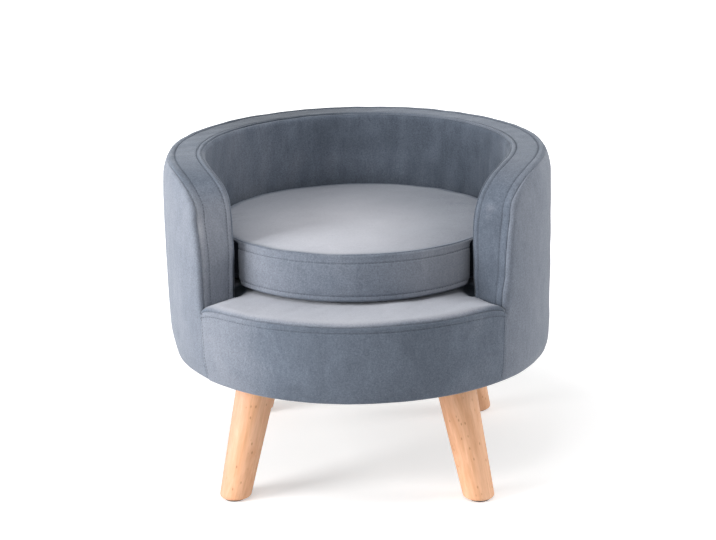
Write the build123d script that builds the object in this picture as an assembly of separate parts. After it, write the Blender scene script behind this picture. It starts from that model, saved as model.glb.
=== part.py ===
from build123d import *
from math import asin, atan2, cos, degrees, radians, sin, sqrt, tan
import os

# A round tub sofa for a cat: a padded drum on four splayed wooden legs, a horseshoe wall
# that drops at the front into two arms, and a loose round box cushion in the well.
# The origin is on the floor under the centre, +Z is up and the open front looks along -Y.
# All lengths are in millimetres, and all azimuths are degrees round Z, counted from the front.

# Overall sizes
outer_radius = 240.0
body_height = 250.0
leg_height = 153.0

# Barrel outline of the outside: three arcs that run into each other
belly_rise = 150.0
belly_curve = 2800.0
lower_rise = 40.0
lower_curve = 140.0
upper_drop = 30.0
upper_curve = 70.0
foot_round = 6.0

# Well, deck and arms
wall_depth = 53.5
deck_rise = 102.0
deck_round = 9.0
rim_round = 6.0
seam_inner_edge = 4.0
seam_outer_edge = 7.5
arm_foot_angle = 49.1
arm_head_angle = 49.9
shoulder_end_angle = 86.0
shoulder_drop = 100.0
shoulder_rise_share = 0.70
shoulder_run_share = 0.24

# Layers, from the outside in
fabric = 1.5
hem_width = 26.0
foam_over_rim = 10.5
foam_in_well = 12.0
seat_foam_depth = 12.0
board_skin = 3.0
dust_cloth = 0.8
dust_lap = 9.0
lay = 0.2

# Timber
outer_foam_depth = 13.1
bottom_ply = 12.0
seat_ply = 9.0
rail_ply = 12.0
post_width = 24.0
post_depth = 22.0
base_post_count = 8
wall_post_angles = (90.0, 135.0, 180.0, 225.0, 270.0)
arm_post_angle = 55.5
rail_end_angle = 78.0

# Legs, their blocks and their hardware
foot_inset = 28.6
root_inset = 73.8
leg_foot_radius = 18.8
leg_root_radius = 24.6
leg_foot_round = 3.5
glide_radius = 12.5
glide_height = 2.5
glide_pin_radius = 1.3
glide_pin_length = 14.0
bolt_radius = 4.0
bolt_in_leg = 38.0
bolt_clearance = 0.4
block_side = 44.0
block_height = 20.0
nut_flange_radius = 10.5
nut_flange_height = 1.5
nut_barrel_radius = 5.0
nut_barrel_length = 9.0

# Screws and staples
screw_radius = 1.9
screw_head_radius = 4.0
screw_head_height = 3.0
screw_length = 34.0
staple_count = 24
staple_crown = 10.0
staple_wire = 1.0
staple_leg = 6.0
staple_inset = 4.5

# Cushion
cushion_side_gap = 9.0
cushion_swell = 2.5
cushion_swell_height = 10.0
cushion_band = 54.5
cushion_lift = 4.5
cushion_flat_margin = 27.0
cushion_crown = 7.0
cushion_roll = 20.0
cushion_roll_drop = 5.0
cushion_cloth = 1.2
cushion_rest_gap = 0.3

# Zip in the back of the cushion's band
zip_half_angle = 60.0
zip_tape_half_height = 7.0
zip_coil_half_height = 1.6
zip_coil_proud = 1.1
zip_travel_half_angle = 52.0
slider_length = 8.0
slider_wall = 0.9
slider_gap = 0.25

# Helpers for cutting
overrun = 5.0
fan_near = 20.0
fan_far = 280.0
fan_spread = 3.0
front_reach = 300.0
pick_tolerance = 0.05

# Radii that follow from the sizes above
well_radius = outer_radius - wall_depth
shell_radius = outer_radius - fabric - outer_foam_depth - 2 * lay
rim_seam_inner = well_radius + seam_inner_edge
rim_seam_outer = outer_radius - seam_outer_edge
cushion_radius = well_radius - cushion_side_gap - cushion_swell
cushion_flat = cushion_radius - cushion_flat_margin
foot_spread = (outer_radius - foot_inset) / sqrt(2)
root_spread = (outer_radius - root_inset) / sqrt(2)

# Heights that follow from the sizes above
overall_height = leg_height + body_height
deck_height = leg_height + deck_rise
belly_height = leg_height + belly_rise
board_low = leg_height + fabric
board_high = board_low + bottom_ply
seat_board_high = deck_height - fabric - seat_foam_depth
seat_board_low = seat_board_high - seat_ply
padding_inset = fabric + lay
frame_inset = padding_inset + foam_over_rim
frame_top = overall_height - frame_inset - lay
rail_low = frame_top - rail_ply
well_foam_radius = well_radius + padding_inset + foam_in_well
inner_shell_low = well_foam_radius + lay
inner_shell_high = inner_shell_low + board_skin
frame_radius = shell_radius - board_skin - lay
frame_inner_radius = inner_shell_high + lay

os.makedirs("parts", exist_ok=True)


def save(name, shape):
    """Write one sub-part under its own name."""
    export_step(shape, f"parts/{name}.step")


def drum(radius, low, high):
    """A plain disc or cylinder between two heights."""
    return Pos(0, 0, (low + high) / 2) * Cylinder(radius, high - low)


def tube(inner, outer, low, high):
    """A ring with square edges."""
    return drum(outer, low, high) - drum(inner, low - overrun, high + overrun)


def turned(azimuth, shape):
    """Turn a piece that was made at the front to its azimuth."""
    return Rot(0, 0, azimuth) * shape


def barrel_arcs(inset):
    """The three arcs of the outside, moved inwards: centre radius, centre height, radius, low, high."""
    middle = (outer_radius - belly_curve, belly_height)
    low_angle = asin((leg_height + lower_rise - belly_height) / belly_curve)
    high_angle = asin((overall_height - upper_drop - belly_height) / belly_curve)
    arcs = []
    for curve, angle in ((lower_curve, low_angle), (upper_curve, high_angle)):
        step = belly_curve - curve
        arcs.append((middle[0] + step * cos(angle), middle[1] + step * sin(angle), curve - inset))
    low_blend = middle[1] + (belly_curve - inset) * sin(low_angle)
    high_blend = middle[1] + (belly_curve - inset) * sin(high_angle)
    return (
        (*arcs[0], -overall_height, low_blend),
        (*middle, belly_curve - inset, low_blend, high_blend),
        (*arcs[1], high_blend, 2 * overall_height),
    )


def barrel_radius(height, inset):
    """Radius of the outside at a height, moved inwards by the inset."""
    for centre_radius, centre_height, curve, low, high in barrel_arcs(inset):
        if low <= height <= high:
            return centre_radius + sqrt(curve**2 - (height - centre_height) ** 2)


def barrel_line(inset, low, high):
    """Edges of the outside between two heights, in the XZ plane."""
    edges = []
    for _, _, _, arc_low, arc_high in barrel_arcs(inset):
        start = max(low, arc_low)
        end = min(high, arc_high)
        if end - start > pick_tolerance:
            heights = (start, (start + end) / 2, end)
            edges.append(ThreePointArc(*[(barrel_radius(z, inset), z) for z in heights]))
    return edges


def spun(section):
    """Turn a face drawn as radius and height into a solid whose seam is at the back."""
    return revolve(Plane.YZ * section, Axis.Z, 360)


def polygon_face(points, extra_edges=()):
    """A face from straight runs through the points, closed by extra edges from last to first."""
    runs = [Line(a, b) for a, b in zip(points, points[1:])]
    if not extra_edges:
        runs.append(Line(points[-1], points[0]))
    return make_face([*runs, *extra_edges])


def arm_air(inset, low):
    """Air in front of and above the right-hand arm, its faces radial and moved into the arm by the inset.

    The face is ruled: each line in it is level and points at the axis, so the arm's front
    stays square to the wall while it sweeps back into the rim."""
    turn = degrees(inset / ((well_radius + outer_radius) / 2))
    foot = radians(arm_foot_angle + turn)
    head = radians(arm_head_angle + turn)
    end = radians(shoulder_end_angle)
    head_height = overall_height - shoulder_drop
    top = overall_height - inset
    sections = []
    for distance in (fan_near, fan_far):
        foot_y = -distance / tan(foot)
        head_y = -distance / tan(head)
        end_y = -distance / tan(end)
        front_y = -distance * fan_spread
        rise = shoulder_rise_share * (top - head_height)
        lean = (head_y - foot_y) / (head_height - seat_board_high)
        low_y = foot_y + lean * (low - seat_board_high)
        pull = (head_y + lean * rise, head_height + rise)
        lead = (head_y + shoulder_run_share * (end_y - head_y), top)
        roof = overall_height + 2 * overrun
        edges = [
            Line((front_y, low), (low_y, low)),
            Line((low_y, low), (head_y, head_height)),
            Bezier((head_y, head_height), pull, lead, (end_y, top)),
            Line((end_y, top), (0, top)),
            Line((0, top), (0, roof)),
            Line((0, roof), (front_y, roof)),
            Line((front_y, roof), (front_y, low)),
        ]
        across = Plane(origin=(distance, 0, 0), x_dir=(0, 1, 0), z_dir=(1, 0, 0))
        sections.append((across * make_face(edges)).face().outer_wire())
    return Solid.make_loft(sections, ruled=True)


def opening_air(inset, low):
    """All the air over the front opening and the rim, for cutting the wall and what is in it."""
    side = arm_air(inset, low)
    roof = overall_height + 2 * overrun
    width = 2 * fan_far / fan_spread
    middle = Pos(0, -front_reach / 2, (low + roof) / 2) * Box(width, front_reach, roof - low)
    top = overall_height - inset
    depth = roof - top
    back = Pos(0, front_reach / 2, top + depth / 2) * Box(2 * front_reach, front_reach, depth)
    return [side, side.mirror(Plane.YZ), middle, back]


def front_wedge(gap):
    """The sector of the open front, its two sides moved inwards by the gap."""
    side = radians(arm_foot_angle)
    start = -gap / sin(side)
    reach_x = 2 * front_reach * sin(side)
    reach_y = start - 2 * front_reach * cos(side)
    plan = polygon_face([(0, start), (reach_x, reach_y), (-reach_x, reach_y)])
    return extrude(plan, 2 * overall_height)


def wall_solid(inset, low, rounded=True):
    """The horseshoe wall moved inwards by the inset, with its rim and arm edges rounded."""
    inner = well_radius + inset
    top = overall_height - inset
    top_radius = barrel_radius(top, inset)
    roof = top + overrun
    outside = barrel_line(inset, low, top)
    outline = [
        (top_radius, top),
        (top_radius, roof),
        (inner, roof),
        (inner, low),
        (barrel_radius(low, inset), low),
    ]
    wall = spun(polygon_face(outline, outside))
    for air in opening_air(inset, low - overrun):
        wall -= air
    wall = wall.solid()
    if not rounded:
        return wall
    return wall.fillet(rim_round - inset, rim_edges(wall, inner, inset, top))


def rim_edges(wall, inner, inset, top):
    """The long inner and outer edges that run along the rim and down both arms."""
    found = []
    for edge in wall.edges():
        middle = edge.position_at(0.5)
        ends = [edge.position_at(t) for t in (0.1, 0.9)]
        radius = sqrt(middle.X**2 + middle.Y**2)
        on_outside = abs(radius - barrel_radius(middle.Z, inset)) < pick_tolerance
        on_inside = abs(radius - inner) < pick_tolerance
        level = abs(ends[0].Z - ends[1].Z) < pick_tolerance
        at_top = abs(middle.Z - top) < pick_tolerance
        seam = abs(middle.X) < pick_tolerance and not level
        if (on_outside or on_inside) and not seam and (at_top or not level):
            found.append(edge)
    return found


def base_section(inset, inner, high):
    """Section of the drum's padding or its skin, from an inner radius to the outside."""
    low = leg_height + inset
    corner = (barrel_radius(low, inset), low)
    outline = [(barrel_radius(high, inset), high), (inner, high), (inner, low), corner]
    face = polygon_face(outline, barrel_line(inset, low, high))
    bottom_corner = face.vertices().filter_by(
        lambda v: abs(v.X - corner[0]) < pick_tolerance and abs(v.Y - corner[1]) < pick_tolerance
    )
    return fillet(bottom_corner, foot_round - inset)


def deck_solid(inset, low):
    """The whole seat deck moved inwards by the inset, with its front edge rolled over."""
    top = deck_height - inset
    corner = (barrel_radius(top, inset), top)
    outline = [corner, (0, top), (0, low), (barrel_radius(low, inset), low)]
    face = polygon_face(outline, barrel_line(inset, low, top))
    rolled = face.vertices().filter_by(
        lambda v: abs(v.X - corner[0]) < pick_tolerance and abs(v.Y - corner[1]) < pick_tolerance
    )
    return spun(fillet(rolled, deck_round - inset))


def deck_plan(gap):
    """The plan of the deck: the well's circle joined to the sector of the open front."""
    circle = drum(well_radius - gap, leg_height, overall_height)
    lobe = front_wedge(gap)
    return circle + lobe


# Frame: two plywood discs with posts between, wrapped in a hoop of fibreboard

def screw(azimuth, radius, start, direction):
    """A countersunk wood screw, its head at the start height and its point along +Z or -Z."""
    head = Cone(screw_head_radius, screw_radius, screw_head_height)
    head = Pos(0, 0, screw_head_height / 2) * head
    shank_length = screw_length - screw_head_height
    shank = Pos(0, 0, screw_head_height + shank_length / 2) * Cylinder(screw_radius, shank_length)
    body = head + shank
    if direction < 0:
        body = Rot(180, 0, 0) * body
    return turned(azimuth, Pos(0, -radius, start) * body)


def post(azimuth, low, high):
    """An upright between the inner and outer shells, its corners just clear of the outer one."""
    outer_face = sqrt(frame_radius**2 - (post_width / 2) ** 2)
    inner_face = outer_face - post_depth
    size = Box(post_width, post_depth, high - low)
    return turned(azimuth, Pos(0, -(outer_face + inner_face) / 2, (low + high) / 2) * size)


def wall_post(azimuth, low, high):
    """An upright of the wall, as deep as the gap between the two shells."""
    outer_face = sqrt(frame_radius**2 - (post_width / 2) ** 2)
    depth = outer_face - frame_inner_radius
    size = Box(post_width, depth, high - low)
    return turned(azimuth, Pos(0, -(outer_face + frame_inner_radius) / 2, (low + high) / 2) * size)


post_radius = frame_radius - post_depth / 2
wall_post_radius = (frame_radius + frame_inner_radius) / 2
base_step = 360.0 / base_post_count
base_angles = [base_step * (i + 0.5) for i in range(base_post_count)]
arm_angles = (-arm_post_angle, arm_post_angle)

base_screws_low = Compound([screw(a, post_radius, board_low, 1) for a in base_angles])
base_screws_high = Compound([screw(a, post_radius, seat_board_high, -1) for a in base_angles])
post_screws = Compound(
    [screw(a, wall_post_radius, seat_board_low, 1) for a in (*wall_post_angles, *arm_angles)]
)
rail_screws = Compound([screw(a, wall_post_radius, frame_top, -1) for a in wall_post_angles])


# Legs: the axis of each one leans outwards, and both of its ends are cut level

leg_splay = sqrt(2) * (foot_spread - root_spread)
leg_tilt = atan2(leg_splay, leg_height)
leg_top = leg_height + fabric - dust_cloth


def leg_plane(side, end, along):
    """Plane square to a leg's axis, at a distance along it from the floor."""
    foot = Vector(side * foot_spread, end * foot_spread, 0)
    root = Vector(side * root_spread, end * root_spread, leg_height)
    axis = (root - foot).normalized()
    across = Vector(-end, side, 0)
    return Plane(origin=foot + axis * along, x_dir=across, z_dir=axis)


def leg_bore(side, end, radius, start, stop):
    """A round bar along a leg's axis between two distances from the floor."""
    middle = leg_plane(side, end, (start + stop) / 2)
    return middle * Cylinder(radius, stop - start)


board_low_along = board_low / cos(leg_tilt)
board_high_along = board_high / cos(leg_tilt)
block_top_along = board_high_along + block_height
nut_top_along = block_top_along + nut_flange_height
bolt_start = leg_top / cos(leg_tilt) - bolt_in_leg


def glide(side, end):
    """A nailed-on glide that lies flat on the floor."""
    pad = Pos(0, 0, glide_height / 2) * Cylinder(glide_radius, glide_height)
    pin_height = glide_height + glide_pin_length / 2
    pin = Pos(0, 0, pin_height) * Cylinder(glide_pin_radius, glide_pin_length)
    return Pos(side * foot_spread, end * foot_spread, 0) * (pad + pin)


def leg(side, end):
    """A tapered round leg, cut level at the foot and where it meets the underside."""
    length = leg_height / cos(leg_tilt)
    extra = leg_root_radius * tan(leg_tilt) + overrun
    slope = (leg_root_radius - leg_foot_radius) / length
    low_radius = leg_foot_radius - slope * extra
    high_radius = leg_root_radius + slope * extra
    stick = leg_plane(side, end, length / 2) * Cone(low_radius, high_radius, length + 2 * extra)
    reach = 4 * foot_spread
    below = Pos(0, 0, glide_height - overall_height / 2) * Box(reach, reach, overall_height)
    above = Pos(0, 0, leg_top + overall_height / 2) * Box(reach, reach, overall_height)
    stick = (stick - below - above).solid()
    foot_edge = stick.edges().sort_by(Axis.Z)[0]
    stick = stick.fillet(leg_foot_round, [foot_edge])
    bolt_end = leg_top / cos(leg_tilt) + overrun
    stick -= leg_bore(side, end, bolt_radius, bolt_start, bolt_end)
    return stick - glide(side, end)


def hanger_bolt(side, end):
    """Threaded bar from inside the leg up through the nut."""
    return leg_bore(side, end, bolt_radius, bolt_start, nut_top_along + nut_flange_height)


def tee_nut(side, end):
    """Nut with a flange that lies on the block's square-cut top."""
    flange = leg_bore(side, end, nut_flange_radius, block_top_along, nut_top_along)
    barrel = leg_bore(side, end, nut_barrel_radius, block_top_along - nut_barrel_length, nut_top_along)
    hole = leg_bore(side, end, bolt_radius, board_low_along, nut_top_along + overrun)
    return flange + barrel - hole


def leg_block(side, end):
    """Wedge-footed block glued on the bottom board, its top square to the leg."""
    height = block_height + block_side
    block = leg_plane(side, end, block_top_along - height / 2) * Box(block_side, block_side, height)
    reach = 2 * outer_radius
    block -= Pos(0, 0, board_high - overall_height / 2) * Box(reach, reach, overall_height)
    return block - leg_bore(side, end, nut_barrel_radius, board_low_along, nut_top_along)


corners = {"front_left": (-1, -1), "front_right": (1, -1), "rear_left": (-1, 1), "rear_right": (1, 1)}

for place, (side, end) in corners.items():
    save(f"leg_{place}", leg(side, end))
    save(f"glide_{place}", glide(side, end))

save("leg_blocks", Compound([leg_block(*corner) for corner in corners.values()]))
save("tee_nuts", Compound([tee_nut(*corner) for corner in corners.values()]))
save("hanger_bolts", Compound([hanger_bolt(*corner) for corner in corners.values()]))

# Boards and posts



def drilled(shape):
    """A board or cloth with a clearance hole for each leg's bolt."""
    hole_radius = bolt_radius + bolt_clearance
    for corner in corners.values():
        shape -= leg_bore(*corner, hole_radius, board_low_along - block_height, block_top_along)
    return shape


save("bottom_board", drilled(drum(frame_radius, board_low, board_high) - base_screws_low))

seat_board = drum(frame_radius, seat_board_low, seat_board_high)
seat_board = seat_board - base_screws_high - post_screws
save("seat_board", seat_board)

base_posts = [
    post(a, board_high, seat_board_low) - base_screws_low - base_screws_high for a in base_angles
]
save("base_posts", Compound(base_posts))

wall_posts = [
    wall_post(a, seat_board_high, rail_low) - post_screws - rail_screws for a in wall_post_angles
]
save("wall_posts", Compound(wall_posts))

frame_air = opening_air(frame_inset + lay, seat_board_high)
for name, azimuth in zip(("arm_post_left", "arm_post_right"), arm_angles):
    arm_post = wall_post(azimuth, seat_board_high, frame_top) - post_screws
    for air in frame_air:
        arm_post -= air
    save(name, arm_post)

top_rail = tube(frame_inner_radius, frame_radius, rail_low, frame_top) - rail_screws
rail_cut = front_reach - frame_radius * cos(radians(rail_end_angle))
top_rail -= Pos(0, rail_cut - 3 * front_reach, rail_low) * Box(
    4 * front_reach, 4 * front_reach, overall_height
)
outer_shell = tube(shell_radius - board_skin, shell_radius, board_low, frame_top)
inner_shell = tube(inner_shell_low, inner_shell_high, seat_board_high, frame_top)
for air in frame_air:
    top_rail -= air
    outer_shell -= air
    inner_shell -= air
save("top_rail", top_rail)
save("outer_shell", outer_shell)
save("inner_shell", inner_shell)

save("base_screws_lower", base_screws_low)
save("base_screws_upper", base_screws_high)
save("post_screws", post_screws)
save("rail_screws", rail_screws)

# Padding

padded_wall = wall_solid(padding_inset, seat_board_high)
save("well_foam", padded_wall & drum(well_foam_radius, leg_height, overall_height))

wedge = front_wedge(0)
outer_pad_radius = shell_radius + lay
drum_foam = spun(base_section(padding_inset, outer_pad_radius, seat_board_high))
wall_foam = padded_wall - drum(outer_pad_radius, leg_height, overall_height)
save("outer_foam", wall_foam + (drum_foam - wedge))
save("front_foam", drum_foam & front_wedge(lay))

rim_zone = tube(inner_shell_low, shell_radius, seat_board_high - overrun, overall_height)
framed_zone = tube(inner_shell_low - overrun, shell_radius + overrun, leg_height, overall_height)
for air in opening_air(frame_inset, seat_board_high - overrun):
    framed_zone -= air
save("rim_foam", (padded_wall & rim_zone) - framed_zone)

save("seat_foam", deck_solid(padding_inset, seat_board_high) & deck_plan(padding_inset))

# Covers

skin = wall_solid(0, seat_board_high) - wall_solid(fabric, seat_board_high - overrun)
strip_zone = tube(rim_seam_inner, rim_seam_outer, leg_height, overall_height + overrun)
well_zone = drum(rim_seam_inner, leg_height, overall_height + overrun)
hem_radius = barrel_radius(leg_height, 0) - hem_width
drum_lining = base_section(fabric, hem_radius - overrun, seat_board_high + overrun)
drum_skin = spun(base_section(0, hem_radius, seat_board_high) - drum_lining)
save("rim_strip", skin & strip_zone)
save("inner_cover", skin & well_zone)
save("outer_cover", (skin - strip_zone - well_zone) + (drum_skin - wedge))
save("front_panel", drum_skin & front_wedge(lay))

deck_skin = deck_solid(0, seat_board_high + lay) - deck_solid(fabric, seat_board_high)
save("deck_cover", deck_skin & deck_plan(lay))

dust_radius = hem_radius + dust_lap
dust_outline = [
    (0, board_low - dust_cloth),
    (hem_radius - lay, board_low - dust_cloth),
    (hem_radius - lay, leg_height - dust_cloth),
    (dust_radius, leg_height - dust_cloth),
    (dust_radius, leg_height),
    (hem_radius - lay, leg_height),
    (hem_radius - lay, board_low),
    (0, board_low),
]
save("dust_cover", drilled(spun(polygon_face(dust_outline))))


def staple(azimuth):
    """A staple driven up through the dust cover, the hem and the bottom board."""
    radius = dust_radius - staple_inset
    low = leg_height - dust_cloth - staple_wire
    crown = Pos(0, -radius, low + staple_wire / 2) * Box(staple_crown, staple_wire, staple_wire)
    prong_height = low + staple_leg / 2
    prongs = [
        Pos(x, -radius, prong_height) * Box(staple_wire, staple_wire, staple_leg)
        for x in (staple_wire / 2 - staple_crown / 2, staple_crown / 2 - staple_wire / 2)
    ]
    return turned(azimuth, crown + prongs[0] + prongs[1])


staple_step = 360.0 / staple_count
save("staples", Compound([staple(staple_step * (i + 0.5)) for i in range(staple_count)]))

# Cushion: its section is drawn as radius and height, and turned

cushion_low = deck_height + cushion_rest_gap
bottom_seam = cushion_low + cushion_lift
top_seam = bottom_seam + cushion_band
cushion_top = top_seam + cushion_crown


def cushion_section():
    """The closed half section of the whole cushion."""
    underside = TangentArc((cushion_flat, cushion_low), (cushion_radius, bottom_seam), tangent=(1, 0))
    full = cushion_radius + cushion_swell
    band_low = (full, bottom_seam + cushion_swell_height)
    band_high = (full, top_seam - cushion_swell_height)
    low_swell = TangentArc(band_low, (cushion_radius, bottom_seam), tangent=(0, -1))
    high_swell = TangentArc(band_high, (cushion_radius, top_seam), tangent=(0, 1))
    band = Line(band_low, band_high)
    roll_start = (cushion_radius - cushion_roll, top_seam + cushion_roll_drop)
    crown = TangentArc((0, cushion_top), roll_start, tangent=(1, 0))
    roll = TangentArc(roll_start, (cushion_radius, top_seam), tangent=crown % 1)
    floor = Line((0, cushion_low), (cushion_flat, cushion_low))
    axis = Line((0, cushion_low), (0, cushion_top))
    return make_face([floor, underside, low_swell, band, high_swell, roll, crown, axis])


def strip_face(low, high):
    """A strip between two heights, for cutting the cushion's section."""
    return polygon_face([(0, low), (outer_radius, low), (outer_radius, high), (0, high)])


whole_section = cushion_section()
wide_section = whole_section + mirror(whole_section, Plane.YZ)
wide_core = offset(wide_section, -cushion_cloth, kind=Kind.INTERSECTION)
core_section = wide_core & strip_face(0, overall_height)
cloth_section = whole_section - core_section
cushion_core = spun(core_section)

band_middle = (bottom_seam + top_seam) / 2
band_outer = cushion_radius + cushion_swell
tape_inner = band_outer - cushion_cloth


def back_sector(half_angle, inner, outer, half_height):
    """Part of a ring round the back of the cushion, centred on the band."""
    ring = tube(inner, outer, band_middle - half_height, band_middle + half_height)
    reach_x = 2 * front_reach * sin(radians(half_angle))
    reach_y = 2 * front_reach * cos(radians(half_angle))
    corners_seen = [(0, 0), (reach_x, reach_y), (0, 2 * front_reach), (-reach_x, reach_y)]
    return ring & extrude(polygon_face(corners_seen), 2 * overall_height)


zip_gap_angle = degrees(lay / band_outer)
slot_half_angle = zip_half_angle + zip_gap_angle
slot_half_height = zip_tape_half_height + lay
zip_slot = back_sector(slot_half_angle, tape_inner - cushion_swell, band_outer + overrun, slot_half_height)
tape = back_sector(zip_half_angle, tape_inner + lay / 2, band_outer, zip_tape_half_height)
coil = back_sector(zip_half_angle, tape_inner + lay / 2, band_outer + zip_coil_proud, zip_coil_half_height)

save("cushion_core", cushion_core)
save("cushion_top_panel", spun(cloth_section & strip_face(top_seam, overall_height)))
save("cushion_band", spun(cloth_section & strip_face(bottom_seam, top_seam)) - zip_slot)
save("cushion_bottom_panel", spun(cloth_section & strip_face(0, bottom_seam)))
save("cushion_zip", tape + coil)

# Slider of the zip: a cap that rides over the coil with two cheeks on the tape
cap_low = band_outer + zip_coil_proud + slider_gap
cap_high = cap_low + slider_wall
cheek_low = band_outer + slider_gap
slider_half_height = zip_coil_half_height + slider_gap + slider_wall
cap = Pos(0, (cap_low + cap_high) / 2, band_middle) * Box(slider_length, slider_wall, 2 * slider_half_height)
cheek_depth = cap_high - cheek_low
cheek_middle = (cap_high + cheek_low) / 2
slider = cap
for way in (-1, 1):
    cheek_height = band_middle + way * (slider_half_height - slider_wall / 2)
    slider += Pos(0, cheek_middle, cheek_height) * Box(slider_length, cheek_depth, slider_wall)
save("zip_slider", turned(-zip_travel_half_angle, slider))
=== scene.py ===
# %% [markdown]
# # A velvet tub sofa for a cat
# This lesson dresses a round tub sofa: a padded drum on four splayed wooden legs, with a
# horseshoe wall, a seat deck and a loose round cushion. The hard parts, such as the legs, come
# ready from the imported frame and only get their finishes. Everything soft is made here.
# The frame is in metres, with the floor at zero, +Z up and the open front towards -Y.

# %% Load the frame and clear the selection
import bpy
import math
import numpy as np
from mathutils import Matrix, Vector


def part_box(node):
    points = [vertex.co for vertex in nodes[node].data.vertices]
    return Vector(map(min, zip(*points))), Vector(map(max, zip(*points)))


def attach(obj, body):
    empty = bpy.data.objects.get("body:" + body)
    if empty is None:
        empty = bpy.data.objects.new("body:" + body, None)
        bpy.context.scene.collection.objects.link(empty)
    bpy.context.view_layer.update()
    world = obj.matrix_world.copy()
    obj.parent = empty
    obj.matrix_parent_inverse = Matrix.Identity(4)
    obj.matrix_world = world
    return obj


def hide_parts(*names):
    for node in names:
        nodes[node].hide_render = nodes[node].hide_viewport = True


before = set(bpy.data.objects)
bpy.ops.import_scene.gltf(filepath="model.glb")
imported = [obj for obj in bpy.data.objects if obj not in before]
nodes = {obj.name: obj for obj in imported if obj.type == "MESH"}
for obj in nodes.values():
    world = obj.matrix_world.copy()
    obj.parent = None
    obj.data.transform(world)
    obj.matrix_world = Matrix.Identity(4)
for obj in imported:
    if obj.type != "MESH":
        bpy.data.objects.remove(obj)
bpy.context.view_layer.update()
bpy.ops.object.select_all(action="DESELECT")
scene = bpy.context.scene

# %% [markdown]
# ## The sizes of the tub
# The frame gives the box of each piece, so the main sizes are read from it. The few that a box
# can't give, such as the curves of the outside, are written here in millimetres times mm.
# Azimuths are counted round Z from the open front.

# %% Sizes
mm = 0.001
rim_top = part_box("rim_strip")[1].z
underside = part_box("outer_cover")[0].z
deck_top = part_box("deck_cover")[1].z
tub_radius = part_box("outer_cover")[1].x
well_radius = tub_radius - 53.5 * mm
seam_inner = well_radius + 4.0 * mm
seam_outer = tub_radius - 7.5 * mm
strip_middle = (seam_inner + seam_outer) / 2

belly_height = underside + 150.0 * mm
belly_curve = 2800.0 * mm
lower_blend = underside + 40.0 * mm
lower_curve = 140.0 * mm
upper_blend = rim_top - 30.0 * mm
upper_curve = 70.0 * mm
foot_round = 6.0 * mm
rim_round = 6.0 * mm
deck_round = 9.0 * mm
hem_width = 26.0 * mm

arm_foot_height = deck_top - 13.5 * mm
arm_head_height = rim_top - 100.0 * mm
arm_foot_angle = math.radians(49.1)
arm_head_angle = math.radians(49.9)
shoulder_end_angle = math.radians(86.0)
shoulder_rise_share = 0.70
shoulder_run_share = 0.24
print("tub radius", round(tub_radius, 4), "rim", round(rim_top, 4), "deck", round(deck_top, 4))

# %% [markdown]
# ## The camera
# The camera stands where the photographer stood: about two and a half metres away, a little
# above the rim and three degrees to the sofa's right, with a long lens and a slight roll.

# %% Camera
camera_distance = 2454.3 * mm
camera_elevation = math.radians(17.24)
camera_yaw = math.radians(3.1)
camera_roll = math.radians(-1.17)
camera_aim = Vector((-1.0, -0.1, 244.5)) * mm
focal_pixels = 1953.1
photo_width_pixels = 716
sensor_width = 36.0


def placed(name, data):
    """A new object with the given data, linked to the scene."""
    thing = bpy.data.objects.new(name, data)
    scene.collection.objects.link(thing)
    return thing


back = Vector((
    math.sin(camera_yaw) * math.cos(camera_elevation),
    -math.cos(camera_yaw) * math.cos(camera_elevation),
    math.sin(camera_elevation),
))
camera_data = bpy.data.cameras.new("camera")
camera_data.sensor_width = sensor_width
camera_data.lens = sensor_width * focal_pixels / photo_width_pixels
camera_data.clip_start = 0.05
camera_data.clip_end = 50
camera = placed("camera", camera_data)
look = (-back).to_track_quat("-Z", "Y").to_matrix()
camera.rotation_euler = (look @ Matrix.Rotation(camera_roll, 3, "Z")).to_euler()
camera.location = camera_aim + back * camera_distance
scene.camera = camera
print("lens", round(camera_data.lens, 1), "mm")

# %% [markdown]
# ## Places on a round form
# Almost every piece lies round the tub's axis, so its points are worked out from a radius, an
# azimuth and a height. A few soft curves describe everything that swells, sinks or fades.

# %% Helpers for places
def ease(value, low, high):
    """0 below low, 1 above high, and a smooth climb between them."""
    share = np.clip((value - low) / (high - low), 0, 1)
    return share * share * (3 - 2 * share)


def bell(value, width):
    """1 at zero, with a soft fall on both sides."""
    return np.exp(-((value / width) ** 2))


def around_of(points):
    """Azimuths from the open front, negative on the left."""
    return np.arctan2(points[..., 0], -points[..., 1])


def reach_of(points):
    """Distances from the tub's axis."""
    return np.hypot(points[..., 0], points[..., 1])


def polar(radius, angle, level):
    """Points at the given radii, azimuths and heights."""
    sides = (radius * np.sin(angle), -radius * np.cos(angle), level)
    return np.stack(np.broadcast_arrays(*sides), axis=-1)


def rings(radius, level, columns):
    """Points on rings of the given radii and heights, at the given azimuths."""
    return polar(radius[:, None], columns, level[:, None])


def run_of(line):
    """The way along a line of points, up to each of them."""
    return np.concatenate([[0], np.cumsum(np.linalg.norm(np.diff(line, axis=0), axis=1))])


def stepped(length, coarse, fine_places, fine=0.7 * mm, reach=5.0 * mm):
    """Places from 0 to a length, close together near the fine places and wide apart elsewhere."""
    places = [0.0]
    while places[-1] < length:
        near = min(abs(places[-1] - place) for place in fine_places)
        step = fine + (coarse - fine) * max(0.0, near - reach) / (3 * reach)
        places.append(places[-1] + min(coarse, step))
    return np.array(places) * length / places[-1]


def waves(points, length, seed):
    """Soft unevenness between about -1 and 1, as hand-pulled foam has, of a given wavelength."""
    draw = np.random.default_rng(seed)
    total = np.zeros(points.shape[:-1])
    for _ in range(9):
        way = draw.normal(size=3)
        way /= np.linalg.norm(way)
        stretch = draw.uniform(0.7, 1.5)
        total += np.sin(points @ way * 2 * math.pi * stretch / length + draw.uniform(0, 6.28))
    return total / 3


def seam_dip(distance, depth=1.3 * mm, width=2.6 * mm):
    """How far a panel's edge turns down into its seam."""
    return -depth * np.clip(1 - distance / width, 0, 1) ** 2


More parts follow.
